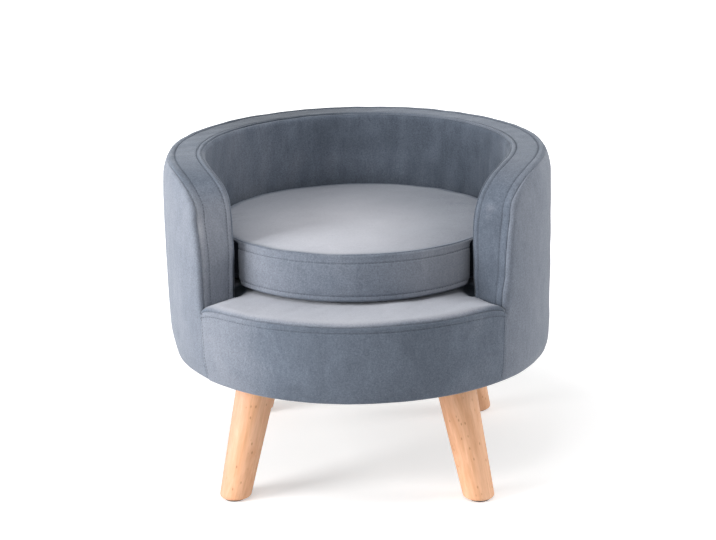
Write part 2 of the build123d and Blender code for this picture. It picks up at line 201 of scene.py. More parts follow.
def stitch_dip(distance, depth=0.7 * mm):
    """The groove that a line of topstitching pulls into the cloth."""
    return -depth * bell(distance, 1.0 * mm)


def surface_normals(points, row=0, away=None):
    """Unit normals of a grid of points. The middle one of a row shows which way is away."""
    normal = np.cross(np.gradient(points, axis=1), np.gradient(points, axis=0))
    normal /= np.maximum(np.linalg.norm(normal, axis=-1, keepdims=True), 1e-12)
    return normal if away is None else normal * np.sign(normal[row, points.shape[1] // 2] @ away)


print("one wave of foam:", np.round(waves(np.array([[0, 0, 0], [0.05, 0, 0]]), 90 * mm, 3), 2))

# %% [markdown]
# ## Laying cloth on a form
# An upholsterer cuts each panel flat, pulls it over the foam and sews it to the next one.
# The same is done here: each panel starts as a flat grid, and every point of the grid is then
# laid on the form. The grid is finer along its seams, where the cloth dips into the stitching.

# %% Helpers for laying cloth
def read(items, field, size):
    """A field of vertices, corners or faces as an array with one row each."""
    values = np.empty(len(items) * size)
    items.foreach_get(field, values)
    return values.reshape(-1, size)


def pick(first, *others):
    """Select pieces, with the first one active."""
    bpy.ops.object.select_all(action="DESELECT")
    for piece in (first, *others):
        piece.select_set(True)
    bpy.context.view_layer.objects.active = first


def edit_all(operator, **settings):
    """Run an operator in edit mode on all of the active piece."""
    bpy.ops.object.mode_set(mode="EDIT")
    bpy.ops.mesh.select_all(action="SELECT")
    operator(**settings)
    bpy.ops.object.mode_set(mode="OBJECT")


def lay_cloth(name, points, outward=(0, 0, 0), radial=0):
    """A panel from a flat grid whose points are laid on the form. The UV map is in metres.

    Its faces look outward, and away from the axis where radial is 1."""
    rows, columns = points.shape[:2]
    bpy.ops.object.select_all(action="DESELECT")
    bpy.ops.mesh.primitive_grid_add(
        x_subdivisions=columns - 1, y_subdivisions=rows - 1, size=1, calc_uvs=True
    )
    panel = bpy.context.object
    panel.name = panel.data.name = name
    mesh = panel.data
    flat = read(mesh.vertices, "co", 3) + 0.5
    column = np.rint(flat[:, 0] * (columns - 1)).astype(int)
    row = np.rint(flat[:, 1] * (rows - 1)).astype(int)
    mesh.vertices.foreach_set("co", points[row, column].ravel())
    width = np.linalg.norm(np.diff(points, axis=1), axis=-1).sum(1).max()
    height = np.linalg.norm(np.diff(points, axis=0), axis=-1).sum(0).max()
    corners = mesh.uv_layers[0].data
    corners.foreach_set("uv", (read(corners, "uv", 2) * (width, height)).ravel())
    edit_all(bpy.ops.mesh.remove_doubles, threshold=0.02 * mm)
    away = read(mesh.polygons, "center", 3) * (radial, radial, 0) + outward
    facing = (away * read(mesh.polygons, "normal", 3) * read(mesh.polygons, "area", 1)).sum()
    if facing < 0:
        edit_all(bpy.ops.mesh.flip_normals)
    bpy.ops.object.shade_smooth()
    print(name, "-", len(mesh.polygons), "faces")
    return panel


def sew_on(first, other):
    """Sew a piece to the first one along the points that they share."""
    pick(first, other)
    bpy.ops.object.join()
    edit_all(bpy.ops.mesh.remove_doubles, threshold=0.05 * mm)
    bpy.ops.object.shade_smooth()
    print("sewn:", first.name)


def thicken(piece, depth=1.2 * mm):
    """Give a sheet of cloth its thickness, towards the padding."""
    pick(piece)
    solid = piece.modifiers.new("Solidify", "SOLIDIFY")
    solid.thickness = depth
    solid.offset = -1
    bpy.ops.object.modifier_apply(modifier="Solidify")


# %% [markdown]
# ## The form of the tub
# The outside is a barrel of three arcs that run into each other. The rim's line is level round
# the back, then sweeps down in front of each shoulder to the foot of the arm. Every short line
# across the rim points at the tub's axis, so each arm is square to the wall.

# %% The barrel and the line of the rim
cloth_step = 3.0 * mm


def barrel(height):
    """Radius of the outside at a height."""
    height = np.asarray(height, dtype=float)
    middle = tub_radius - belly_curve
    radius = middle + np.sqrt(belly_curve**2 - (height - belly_height) ** 2)
    bends = ((lower_blend, lower_curve, False), (upper_blend, upper_curve, True))
    for blend, curve, above in bends:
        angle = math.asin((blend - belly_height) / belly_curve)
        centre_radius = middle + (belly_curve - curve) * math.cos(angle)
        centre_height = belly_height + (belly_curve - curve) * math.sin(angle)
        arc = centre_radius + np.sqrt(np.maximum(curve**2 - (height - centre_height) ** 2, 1e-9))
        radius = np.where(height > blend if above else height < blend, arc, radius)
    return radius


def barrel_slope(height):
    """How fast the radius grows with the height."""
    return (barrel(height + 0.5 * mm) - barrel(height - 0.5 * mm)) / mm


def relaxed(values, reach=5):
    """The same line with its changes of curvature spread out, and its two ends kept."""
    share = bell(np.arange(-2 * reach, 2 * reach + 1), reach)
    left = 2 * values[0] - values[2 * reach:0:-1]
    right = 2 * values[-1] - values[-2:-2 * reach - 2:-1]
    return np.convolve(np.concatenate([left, values, right]), share / share.sum(), "valid")


def rim_line(low):
    """The rim's line at even steps, from a height on the right arm round to the left one.

    It gives azimuths, heights and their rates of change, and the way along the line."""
    foot_lean, head_lean, end_lean = (
        -1 / math.tan(angle) for angle in (arm_foot_angle, arm_head_angle, shoulder_end_angle)
    )
    lean = (head_lean - foot_lean) / (arm_head_height - arm_foot_height)
    rise = shoulder_rise_share * (rim_top - arm_head_height)
    height = np.linspace(low, arm_head_height, 150)
    slant = foot_lean + lean * np.maximum(height - arm_foot_height, 0)
    t = np.linspace(0, 1, 400)[1:, None]
    curve = np.hstack([(1 - t) ** 3, 3 * t * (1 - t) ** 2, 3 * t**2 * (1 - t), t**3]) @ np.array([
        (head_lean, arm_head_height),
        (head_lean + lean * rise, arm_head_height + rise),
        (head_lean + shoulder_run_share * (end_lean - head_lean), rim_top),
        (end_lean, rim_top),
    ])
    round_back = np.linspace(shoulder_end_angle, math.pi, 300)[1:]
    azimuth = np.concatenate([np.arctan2(1, -slant), np.arctan2(1, -curve[:, 0]), round_back])
    height = np.concatenate([height, curve[:, 1], np.full(len(round_back), rim_top)])
    run = run_of(np.stack([azimuth * strip_middle, height], axis=1))
    even = np.linspace(0, run[-1], int(round(run[-1] / cloth_step)) + 1)
    azimuth = relaxed(np.interp(even, run, azimuth))
    height = relaxed(np.interp(even, run, height))
    azimuth = np.concatenate([azimuth, 2 * math.pi - azimuth[-2::-1]])
    height = np.concatenate([height, height[-2::-1]])
    along = np.concatenate([even, 2 * even[-1] - even[-2::-1]])
    return (azimuth, height, np.gradient(azimuth, along), np.gradient(height, along)), along


def on_wall(line, radius, depth):
    """Points at a radius and a depth below the rim's face, square to the rim's line."""
    azimuth, height, turn_rate, climb_rate = line
    run = radius * turn_rate
    size = np.hypot(run, climb_rate)
    return polar(radius, azimuth + depth * climb_rate / size / radius, height - depth * run / size)


def outer_edge(line, places, start):
    """Points over the rim's outer edge, at distances past the radius where they start."""
    height, turn_rate, climb_rate = line[1:]
    run = tub_radius * turn_rate
    drop = -run / np.hypot(run, climb_rate)
    edge = barrel(height)
    slope = barrel_slope(height) * drop
    corner = math.pi / 2 + np.arctan(slope)
    tangent = rim_round / np.tan(corner / 2)
    flat = edge - tangent - strip_middle
    lean = np.sqrt(1 + slope**2)
    dense = np.linspace(0, 50 * mm, 400)[:, None]
    angle = np.clip((dense - flat) / rim_round, 0, math.pi - corner)
    past = np.maximum(dense - flat - rim_round * (math.pi - corner), 0)
    radius = np.minimum(strip_middle + dense, edge - tangent) + rim_round * np.sin(angle)
    depth = rim_round * (1 - np.cos(angle)) + past / lean
    radius = radius + past * slope / lean
    radius = radius + np.where(depth > 0, barrel(height + drop * depth) - edge - slope * depth, 0)
    found = np.empty((2, len(places), len(height)))
    for i in range(len(height)):
        begin = np.interp(start, radius[:, i], dense[:, 0])
        for way, values in zip(found, (radius, depth)):
            way[:, i] = np.interp(begin + places, dense[:, 0], values[:, i])
    return on_wall(line, *found)


def inner_edge(line, places):
    """Points over the rim's inner edge, at distances from the middle of the strip inwards."""
    flat = strip_middle - well_radius - rim_round
    places = places[:, None] + 0 * line[0]
    angle = np.clip((places - flat) / rim_round, 0, math.pi / 2)
    past = np.maximum(places - flat - rim_round * math.pi / 2, 0)
    radius = np.maximum(strip_middle - places, well_radius + rim_round) - rim_round * np.sin(angle)
    return on_wall(line, radius, rim_round * (1 - np.cos(angle)) + past)


seam_turn = math.asin((well_radius + rim_round - seam_inner) / rim_round)
seam_inner_place = strip_middle - well_radius - rim_round + rim_round * seam_turn
rim, rim_along = rim_line(arm_foot_height)
print("the rim's line is", round(rim_along[-1], 3), "m long")

# %% [markdown]
# ## How the padding really sits
# Foam is never as even as a drawing. The photograph shows the outside fuller low on the right
# and the whole surface gently uneven, and the arms' faces turned a little to the front. One
# function pushes a surface out along its normals and another one turns the arms. Every panel of
# the tub uses both, so that neighbours stay together at their seams.

# %% Padding
# The turn of the arms' edges on the left and on the right: degrees, gained between two heights
# in millimetres above the deck.
inner_turns = (((0.8, -2, 22), (1.3, 20, 60), (2.8, 70, 130)), ((0.9, -2, 22), (1.9, 30, 120)))
outer_turns = (((0.5, 5, 30), (2.3, 88, 120)), ((-0.9, 5, 30), (1.9, 90, 118)))


def padding(points):
    """How far the padding stands out of its form at each point."""
    outside = ease(reach_of(points), tub_radius - 30 * mm, tub_radius - 8 * mm)
    low_right = bell(around_of(points) - 1.30, 0.55)
    low_right = low_right * bell(points[..., 2] - underside - 6 * mm, 28 * mm)
    uneven = 0.35 * waves(points, 90 * mm, 3) + 0.2 * waves(points, 35 * mm, 5)
    return (4.2 * low_right * outside + uneven) * mm


def arms_set(points):
    """Turn the arms' faces a little towards the front, as they really sit: the inner edges most."""
    around, reach = around_of(points), reach_of(points)
    above = (points[..., 2] - deck_top) / mm
    inner, outer = (
        np.where(around < 0, *(
            sum(turn * ease(above, low, high) for turn, low, high in side) for side in turns
        )) for turns in (inner_turns, outer_turns)
    )
    share = ease(reach, well_radius + 4 * mm, tub_radius - 8 * mm)
    near = 1 - ease(np.abs(around), math.radians(68), math.radians(105))
    turn = np.radians(inner + (outer - inner) * share) * near
    return polar(reach, around - np.sign(around) * turn, points[..., 2])


def raised(form, normals, rise):
    """The form with its surface moved out along its normals."""
    return form + normals * rise[..., None]


print("inner edges turned by up to", [sum(step[0] for step in side) for side in inner_turns])

# %% [markdown]
# ## The boxing strip
# A long narrow panel runs up one arm, round the rim and down the other arm. It is sewn to its
# neighbours along both edges, and a topstitch follows each seam, which holds the seam's
# turnings flat and makes the narrow ridge between the two lines.

# %% Boxing strip
topstitch_inner = 6.4 * mm
topstitch_outer = 9.4 * mm
strip_ridge = 0.5 * mm

strip_width = seam_outer - seam_inner
inner_width = strip_middle - seam_inner
strip_places = stepped(
    strip_width, 3.0 * mm, [0, topstitch_inner, strip_width - topstitch_outer, strip_width]
)
is_inner = strip_places <= inner_width
strip_form = np.empty((len(strip_places), len(rim_along), 3))
inner_share = 1 - strip_places[is_inner] / inner_width
strip_form[is_inner] = inner_edge(rim, seam_inner_place * inner_share)
outer_places = np.linspace(0, 34 * mm, 200)
outer_half = outer_edge(rim, outer_places, strip_middle)
outer_share = (strip_places[~is_inner] - inner_width) / (seam_outer - strip_middle)
for i in range(len(rim_along)):
    length = np.interp(seam_outer, reach_of(outer_half[:, i]), outer_places)
    for axis in range(3):
        strip_form[~is_inner, i, axis] = np.interp(
            outer_share * length, outer_places, outer_half[:, i, axis]
        )
strip_form = arms_set(strip_form)
to_outer = strip_width - strip_places
strip_lines = (
    seam_dip(strip_places, 0.7 * mm) + seam_dip(to_outer, 0.9 * mm, 2.8 * mm)
    + stitch_dip(strip_places - topstitch_inner, 0.6 * mm)
    + stitch_dip(to_outer - topstitch_outer, 0.6 * mm)
    + strip_ridge * bell(strip_places - topstitch_inner / 2, 2.2 * mm)
    + strip_ridge * bell(to_outer - topstitch_outer / 2, 3.2 * mm)
)
strip_normals = surface_normals(strip_form, len(strip_places) // 2, (0, 0, 1))
strip_points = raised(strip_form, strip_normals, strip_lines[:, None] + padding(strip_form))
rim_strip = lay_cloth("rim_strip_velvet", strip_points, (0, -0.6, 1))

# %% [markdown]
# ## The outer cover
# The largest panel goes round the outside. Its top edge follows the strip over the rounded rim,
# its two upright edges meet the front panel, and its lower edge turns under the drum as a hem.
# The rows of the grid follow the seam first, and then fan down to the hem.

# %% Outer cover
hem_level = underside + 8 * mm
outer_rows = 64


def hem_spread(azimuths, alongs, edge_azimuth):
    """Where each line of the fan meets the hem, as an azimuth."""
    spread = azimuths[:len(azimuths) // 2 + 1].copy()
    shoulder = np.searchsorted(spread, shoulder_end_angle)
    share = alongs[:shoulder] / alongs[shoulder]
    slope = alongs[shoulder] / (strip_middle * (shoulder_end_angle - edge_azimuth))
    bend = min(max(slope, 1.0), 1.95) - 1
    share = (1 - bend) * share + bend * share**2
    spread[:shoulder] = edge_azimuth + (shoulder_end_angle - edge_azimuth) * share
    return np.concatenate([spread, 2 * math.pi - spread[-2::-1]])


def fan_down(top_row, end_azimuth, low, count, radius_at):
    """Rows from the seam zone's last row down to a level, laid on a round form."""
    start_angle = np.mod(around_of(top_row), 2 * math.pi)
    share = np.linspace(0, 1, count + 1)[1:, None]
    level = top_row[:, 2] + (low - top_row[:, 2]) * share
    return polar(radius_at(level), start_angle + (end_azimuth - start_angle) * share, level)


def seam_normals(form, zone, away, own):
    """Normals of the grid beside the seam, which pass into the form's own ones farther down."""
    count = len(zone)
    share = ease(zone, zone[-1] - 3 * mm, zone[-1])[:, None, None]
    near = surface_normals(form[:count], -1, away) * (1 - share) + own[:count] * share
    return np.concatenate([near, own[count:]])


def with_rows(zone, count):
    """Distances from the seam for the seam zone's rows and the rows of the fan."""
    return np.concatenate([zone, np.full(count, zone[-1])])[:, None]


seam_zone = stepped(14 * mm, 2.0 * mm, [0], fine=0.6 * mm, reach=2 * mm)
panel, panel_along = rim_line(hem_level)
panel_azimuth, panel_height = panel[:2]
zone_turn = 0.65 * seam_zone / tub_radius
side = np.where(panel_azimuth < math.pi, 1, -1)
flat_edge = polar(barrel(panel_height), panel_azimuth + side * zone_turn[:, None], panel_height)
rolled = ease(panel_height, deck_top - 23 * mm, deck_top - 9 * mm)
over_edge = outer_edge(panel, seam_zone, seam_outer) * rolled[:, None]
over_edge = arms_set(flat_edge * (1 - rolled[:, None]) + over_edge)
hem_azimuth = hem_spread(panel_azimuth, panel_along, arm_foot_angle + zone_turn[-1])
below = fan_down(over_edge[-1], hem_azimuth, hem_level, outer_rows, barrel)
outer_form = np.concatenate([over_edge, below])
lean = barrel_slope(outer_form[..., 2])
barrel_size = np.sqrt(1 + lean**2)
barrel_normals = polar(1 / barrel_size, around_of(outer_form), -lean / barrel_size)
outer_normals = seam_normals(outer_form, seam_zone, (0, 1, 0), barrel_normals)
outer_dip = seam_dip(with_rows(seam_zone, outer_rows), 0.32 * mm + 0.58 * mm * rolled, 2.8 * mm)
outer_points = raised(outer_form, outer_normals, outer_dip + padding(outer_form))
outer_panel = lay_cloth("outer_cover_velvet", outer_points, (0, 0, -0.2), 1)

# %% [markdown]
# The hem goes round the drum's lower edge and inwards under it. It starts on the panel's last
# row and takes its own shape from there, a little fuller on the right and with a slight sag.

# %% Hem under the drum
foot_turn = np.linspace(0, math.pi / 2, 9)
foot_middle = barrel(underside + foot_round) - foot_round
under_run = np.linspace(0, hem_width - foot_round, 6)[1:]
hem_radius = np.concatenate([
    [barrel(hem_level)], foot_middle + foot_round * np.cos(foot_turn), foot_middle - under_run
])
hem_height = np.concatenate([
    [hem_level], underside + foot_round * (1 - np.sin(foot_turn)), underside + 0 * under_run
])


def hem_points(columns, first_row):
    """The hem's rows under a panel whose last row is given."""
    shape = rings(hem_radius, hem_height, columns)
    fade = np.linspace(1, 0, len(hem_radius))[:, None, None]
    shape = shape + (first_row - shape[0]) * fade
    middle = np.sin(fade[..., 0] * math.pi)
    fuller = bell(columns - 1.2, 0.5) * middle
    sag = (1 - ease(np.abs(columns), 1.4, 2.2)) * middle
    shape[..., 2] -= 2.2 * mm * fuller + 1.1 * mm * sag
    return shape


edge_columns = arm_foot_angle + zone_turn
hem_columns = np.concatenate([edge_columns[:-1], hem_azimuth, 2 * math.pi - edge_columns[-2::-1]])
last_zone = len(seam_zone) - 1
first_row = np.concatenate([
    outer_points[:last_zone, 0], outer_points[-1], outer_points[last_zone - 1::-1, -1]
])
outer_hem = lay_cloth("outer_hem", hem_points(hem_columns, first_row), (0, 0, -0.2), 1)
sew_on(outer_panel, outer_hem)

# %% [markdown]
# ## The lining of the well
# The inner cover starts at the strip's inner seam, rolls over the inner edge and goes down the
# wall to below the deck. It fans out in the same way as the outer cover. Soft upright creases
# show where it was pulled down.

# %% Lining
lining_rows = 48
lining_low = arm_foot_height - 7 * mm
# Azimuth in degrees, lowest and highest height in millimetres, and depth in millimetres.
crease_marks = (
    (118.0, 318, 378, 0.7), (121.5, 322, 366, 0.5), (125.5, 316, 382, 0.6), (137.0, 322, 372, 0.5),
    (146.0, 330, 380, 0.4), (201.0, 330, 380, 0.35),
)


def wall_creases(points):
    """The creases' depth at each point of the lining."""
    around, level = np.mod(around_of(points), 2 * math.pi), points[..., 2] / mm
    depth = 0
    for place, low, high, size in crease_marks:
        span = ease(level, low, low + 14) * (1 - ease(level, high - 14, high))
        across = (around - math.radians(place)) * well_radius
        depth = depth - size * mm * bell(across, 2.1 * mm) * span
    return depth


lining_zone = stepped(13 * mm, 2.0 * mm, [0], fine=0.6 * mm, reach=2 * mm)
over_inner = arms_set(inner_edge(rim, seam_inner_place + lining_zone))
lining_spread = hem_spread(rim[0], rim_along, arm_foot_angle + 8 * mm / well_radius)
below = fan_down(
    over_inner[-1], lining_spread, lining_low, lining_rows, lambda level: well_radius + 0 * level
)
lining_form = np.concatenate([over_inner, below])
inwards = polar(-1, around_of(lining_form), 0)
lining_normals = seam_normals(lining_form, lining_zone, (0, -1, 0), inwards)
lining_dip = seam_dip(with_rows(lining_zone, lining_rows), 0.7 * mm)
lining_rise = lining_dip + padding(lining_form) + wall_creases(lining_form)
lining = lay_cloth(
    "inner_cover_velvet", raised(lining_form, lining_normals, lining_rise), radial=-1
)

# %% [markdown]
# ## The front panel and the deck
# Under the open front a curved panel runs between two upright seams. The deck's cover lies on
# the seat, reaches over the front edge in a soft roll and is sewn to the front panel below it.

# %% Front panel
deck_edge = barrel(deck_top - deck_round)
roll_length = deck_round * math.pi / 2
deck_seam = 10.5 * mm
deck_topstitch = 7.5 * mm
front_reach = 2 * arm_foot_angle * tub_radius


def front_section(place):
    """Radius and height on the front, at a distance past the start of the deck's roll."""
    angle = np.clip(place / deck_round, 0, math.pi / 2)
    level = deck_top - deck_round * (1 - np.cos(angle)) - np.maximum(place - roll_length, 0)
    radius = deck_edge - deck_round * (1 - np.sin(angle))
    return np.where(place > roll_length, barrel(level), radius), level


def corner_sink(points):
    """How far the deck's front corners sink beside the arms."""
    reach = reach_of(points)
    from_arm = np.maximum(arm_foot_angle - np.abs(around_of(points)), 0) * reach
    inside = ease(reach, well_radius - 26 * mm, well_radius - 4 * mm)
    on_lobe = ease(reach, well_radius + 4 * mm, well_radius + 40 * mm)
    return (6.6 + 3.0 * on_lobe) * mm * np.exp(-from_arm / (15 * mm)) * inside


front_places = stepped(front_reach, 3.0 * mm, [0, front_reach], reach=2 * mm)
front_columns = -arm_foot_angle + front_places / tub_radius
front_drop = stepped(
    roll_length + deck_top - deck_round - hem_level - deck_seam, 3.0 * mm, [0, deck_topstitch],
    fine=0.6 * mm, reach=3 * mm,
)
front_form = rings(*front_section(deck_seam + front_drop), front_columns)
from_side = np.minimum(front_places, front_reach - front_places)
down_lines = seam_dip(front_drop, 1.2 * mm) + stitch_dip(front_drop - deck_topstitch)
front_rise = seam_dip(from_side, 0.32 * mm, 2.8 * mm) + down_lines[:, None] + padding(front_form)
front_points = raised(front_form, surface_normals(front_form, 9, (0, -1, 0)), front_rise)
front_points[..., 2] -= corner_sink(front_form) * (1 - ease(front_drop, 0, 40 * mm))[:, None]
front_panel = lay_cloth("front_panel_velvet", front_points, radial=1)
front_hem = lay_cloth("front_hem", hem_points(front_columns, front_points[-1]), (0, 0, -0.2), 1)
sew_on(front_panel, front_hem)

# %% [markdown]
# The deck is a disc under the cushion with a lobe that rolls over the front edge. It is tucked
# in along the wall, sinks beside the arms and never goes below the board that carries it.

# %% Deck
tuck_angle = arm_foot_angle + math.radians(1.3)
roll_places = stepped(deck_seam, 1.6 * mm, [deck_seam], fine=0.6 * mm, reach=2 * mm)[1:]
roll_radius, roll_level = front_section(roll_places)
flat_radius = np.linspace(well_radius, deck_edge - deck_round, 22)
lobe_radius = np.concatenate([flat_radius, roll_radius])
lobe_level = np.concatenate([0 * flat_radius + deck_top, roll_level])
lobe_columns = np.linspace(-tuck_angle, tuck_angle, 150)
narrower = ease(lobe_radius, well_radius + 3 * mm, well_radius + 16 * mm)[:, None]
lobe_turn = lobe_columns * (1 - (1 - arm_foot_angle / tuck_angle) * narrower)
lobe_form = rings(lobe_radius, lobe_level, lobe_turn)
from_seam = np.concatenate([0 * flat_radius + 50 * mm, deck_seam - roll_places])
lobe_dip = seam_dip(from_seam, 1.2 * mm)[:, None]
lobe_points = raised(lobe_form, surface_normals(lobe_form, 4, (0, 0, 1)), lobe_dip)
disc_radius = np.linspace(0, well_radius, 62)
rest_columns = np.linspace(tuck_angle, 2 * math.pi - tuck_angle, 260)[1:]
disc_points = rings(disc_radius, 0 * disc_radius + deck_top, np.append(lobe_columns, rest_columns))


def deck_shape(points):
    """The deck's own unevenness: it sinks at its front corners and where it is tucked in."""
    reach, around = reach_of(points), np.abs(around_of(points))
    in_well = reach < well_radius + 1 * mm
    from_wall = np.maximum(well_radius - reach, 0)
    tucked = np.where(around > tuck_angle + 1e-4, 6.0 * np.exp(-from_wall / (3.5 * mm)), 0)
    pocket = ease(around, arm_foot_angle - 0.01, tuck_angle + 0.03) * (1 - ease(around, 1.05, 1.30))
    tucked = tucked + 6.0 * pocket * in_well * bell(from_wall, 20 * mm)
    calm = 1 - ease(reach, deck_edge - 14 * mm, deck_edge)
    uneven = (0.5 * waves(points, 60 * mm, 8) + 0.25 * waves(points, 25 * mm, 9)) * calm
    sink = (uneven - tucked) * mm - corner_sink(points)
    on_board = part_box("seat_board")[1].z + 1.5 * mm - deck_top
    return np.where(in_well, np.maximum(sink, on_board), sink)


for points in (lobe_points, disc_points):
    points[..., 2] += deck_shape(points)
deck = lay_cloth("deck_velvet", disc_points, (0, 0, 1))
lobe = lay_cloth("deck_lobe", lobe_points, (0, -0.3, 1))
sew_on(deck, lobe)

# %% [markdown]
# ## The cushion
# The loose cushion is a round box: a top, a band and a bottom around a soft core. It is made
# as a closed bag of cloth, blown up by the cloth simulation with its two seams held, and its
# panels are then laid on the bag's shape, with their seams and topstitching.

# %% The bag
cushion_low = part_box("cushion_bottom_panel")[0].z
bottom_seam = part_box("cushion_bottom_panel")[1].z
top_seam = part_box("cushion_top_panel")[0].z
cushion_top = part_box("cushion_top_panel")[1].z
band_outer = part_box("cushion_band")[1].x
cushion_radius = band_outer - 2.5 * mm
band_middle = (bottom_seam + top_seam) / 2
zip_half_angle = math.radians(60)
zip_tape_half = 7.0 * mm
bag_columns = 180
last_frame = 20
most_move = 2 * mm
cloth_settings = {
    "quality": 6, "mass": 0.25, "tension_stiffness": 25, "compression_stiffness": 25,
    "shear_stiffness": 15, "bending_stiffness": 6, "use_pressure": True,
    "uniform_pressure_force": 1.2, "shrink_min": 0.002, "vertex_group_mass": "held",
}

under_radius = np.linspace(0, cushion_radius, 28)
under_lift = np.clip((under_radius - (cushion_radius - 27 * mm)) / (27 * mm), 0, 1) ** 2
band_share = np.linspace(0, 1, 11)[1:-1]
crown_radius = np.linspace(cushion_radius, 0, 30)
fall = crown_radius / cushion_radius
bag_radius = np.concatenate([
    under_radius, cushion_radius + 1.6 * mm * (1 - (2 * band_share - 1) ** 4), crown_radius
])
bag_level = np.concatenate([
    cushion_low + (bottom_seam - cushion_low) * under_lift,
    bottom_seam + (top_seam - bottom_seam) * band_share,
    top_seam + (cushion_top - top_seam) * (1 - 0.25 * fall**2 - 0.75 * fall**9),
])
low_row = len(under_radius) - 1
high_row = len(under_radius) + len(band_share)
bag_points = rings(bag_radius, bag_level, np.linspace(0, 2 * math.pi, bag_columns + 1))

# The bag leans forward a little and is creased on the left.
lean = -bag_points[..., 1] / cushion_radius
high = ease(bag_points[..., 2], band_middle + 9 * mm, top_seam)
bag_points[..., 2] += high * np.where(lean > 0, 2.4, 3.2) * lean * mm
on_left = bell(bag_points[..., 0] + 150 * mm, 17 * mm)
creases = sum(
    bell(bag_points[..., 1] - way * mm, width * mm)
    for way, width in ((-12, 3.4), (6, 3.0), (-26, 2.6))
)
bag_points[..., 2] -= 1.3 * mm * creases * on_left * (bag_points[..., 2] > top_seam)


def bag_object():
    """The bag as one closed mesh whose points are in rows, each row a ring."""
    ring = bag_points[1:-1, :-1].reshape(-1, 3)
    points = np.vstack([ring, bag_points[0, 0], bag_points[-1, 0]])
    n = bag_columns
    last = len(ring) - n
    faces = [
        (r + c, r + (c + 1) % n, r + n + (c + 1) % n, r + n + c)
        for r in range(0, last, n) for c in range(n)
    ]
    for c in range(n):
        d = (c + 1) % n
        faces += [(len(ring), d, c), (len(ring) + 1, last + c, last + d)]
    mesh = bpy.data.meshes.new("bag")
    mesh.from_pydata(points.tolist(), [], faces)
    return placed("bag", mesh)


def blown_up(bag):
    """The bag's rings after the cloth simulation, no point moved further than most_move."""
    held = bag.vertex_groups.new(name="held")
    for row in (low_row - 1, high_row - 1):
        held.add(range(row * bag_columns, (row + 1) * bag_columns), 1.0, "REPLACE")
    cloth = bag.modifiers.new("Cloth", "CLOTH")
    for key, value in cloth_settings.items():
        setattr(cloth.settings, key, value)
    cloth.settings.effector_weights.gravity = 0
    cloth.point_cache.frame_start = 1
    cloth.point_cache.frame_end = last_frame
    for step in range(1, last_frame + 1):
        scene.frame_set(step)
    shaped = bag.evaluated_get(bpy.context.evaluated_depsgraph_get())
    start = read(bag.data.vertices, "co", 3)
    move = read(shaped.data.vertices, "co", 3) - start
    size = np.linalg.norm(move, axis=1, keepdims=True)
    places = start + move * np.minimum(1, most_move / np.maximum(size, 1e-9))
    scene.frame_set(1)
    print("the bag moved by up to", round(float(size.max()) / mm, 1), "mm")
    low, high = (np.broadcast_to(place, (1, bag_columns, 3)) for place in places[-2:])
    return np.concatenate([low, places[:-2].reshape(-1, bag_columns, 3), high])


bag_rings = bag_points[:, :-1].copy()
bag = bag_object()
bag_rings = blown_up(bag)
bpy.data.objects.remove(bag)
print("seams at", round(bottom_seam, 4), round(top_seam, 4), "radius", round(cushion_radius, 4))

# %% [markdown]
# Each panel of the cushion reads smooth points from the bag between two of its rows. The band
# is folded in beside the arms, where they squeeze it, and set back behind the zip.

# %% Panels of the cushion
band_topstitch_high = 10.5 * mm
band_topstitch_low = 6.5 * mm
cushion_columns = np.linspace(0, bag_columns, 541)


def between(values, place, closed):
    """Values at fractional places, on smooth curves through their neighbours."""
    base = np.floor(place).astype(int)
    share = (place - base)[:, None, None]
    four = base + np.arange(-1, 3)[:, None]
    a, b, c, d = values[four % len(values) if closed else np.clip(four, 0, len(values) - 1)]
    return 0.5 * (
        2 * b + (c - a) * share + (2 * a - 5 * b + 4 * c - d) * share**2
        + (3 * b - a - 3 * c + d) * share**3
    )


def along_bag(rows, columns):
    """Smooth points on the bag at fractional rows and columns."""
    by_row = between(bag_rings, np.clip(rows, 0, len(bag_rings) - 1), False)
    return between(by_row.transpose(1, 0, 2), columns, True).transpose(1, 0, 2)


def pinched(points):
    """Fold the band in beside each arm, where the arms' inner edges squeeze the cushion."""
    around, reach, level = np.abs(around_of(points)), reach_of(points), points[..., 2]
    low = 1 - ease(level, bottom_seam - 3 * mm, bottom_seam + 8 * mm)
    fold = 0.903 - 0.043 * low
    dent = ease(around, fold, fold + 0.06) * (1 - ease(around, 0.98, 1.2))
    dent = dent * (1 - ease(level, top_seam - 7 * mm, top_seam + 0.5 * mm))
    dent = dent * ease(reach, cushion_radius - 45 * mm, cushion_radius - 4 * mm)
    points[..., :2] *= (1 - 11 * mm * dent / np.maximum(reach, 1 * mm))[..., None]
    points[..., 2] += 1.5 * mm * dent * low
    return points


def set_back_for_zip(points):
    """Lower the band behind the zip's tape, with a folded edge of velvet on both sides of it."""
    reach = reach_of(points)
    away = np.abs(points[..., 2] - band_middle)
    past_end = np.abs(np.abs(around_of(points)) - math.pi) - zip_half_angle
    zone = (1 - ease(away, 9 * mm, 15 * mm)) * (1 - ease(past_end, 0.02, 0.10))
    slot = 1 - ease(away, zip_tape_half - 0.9 * mm, zip_tape_half + 0.1 * mm)
    target = band_outer + 0.3 * mm - 2.0 * mm * slot * (1 - ease(past_end, -0.008, 0.0))
    moved = reach + (target - reach) * zone
    points[..., :2] *= (moved / np.maximum(reach, 1 * mm))[..., None]
    return points


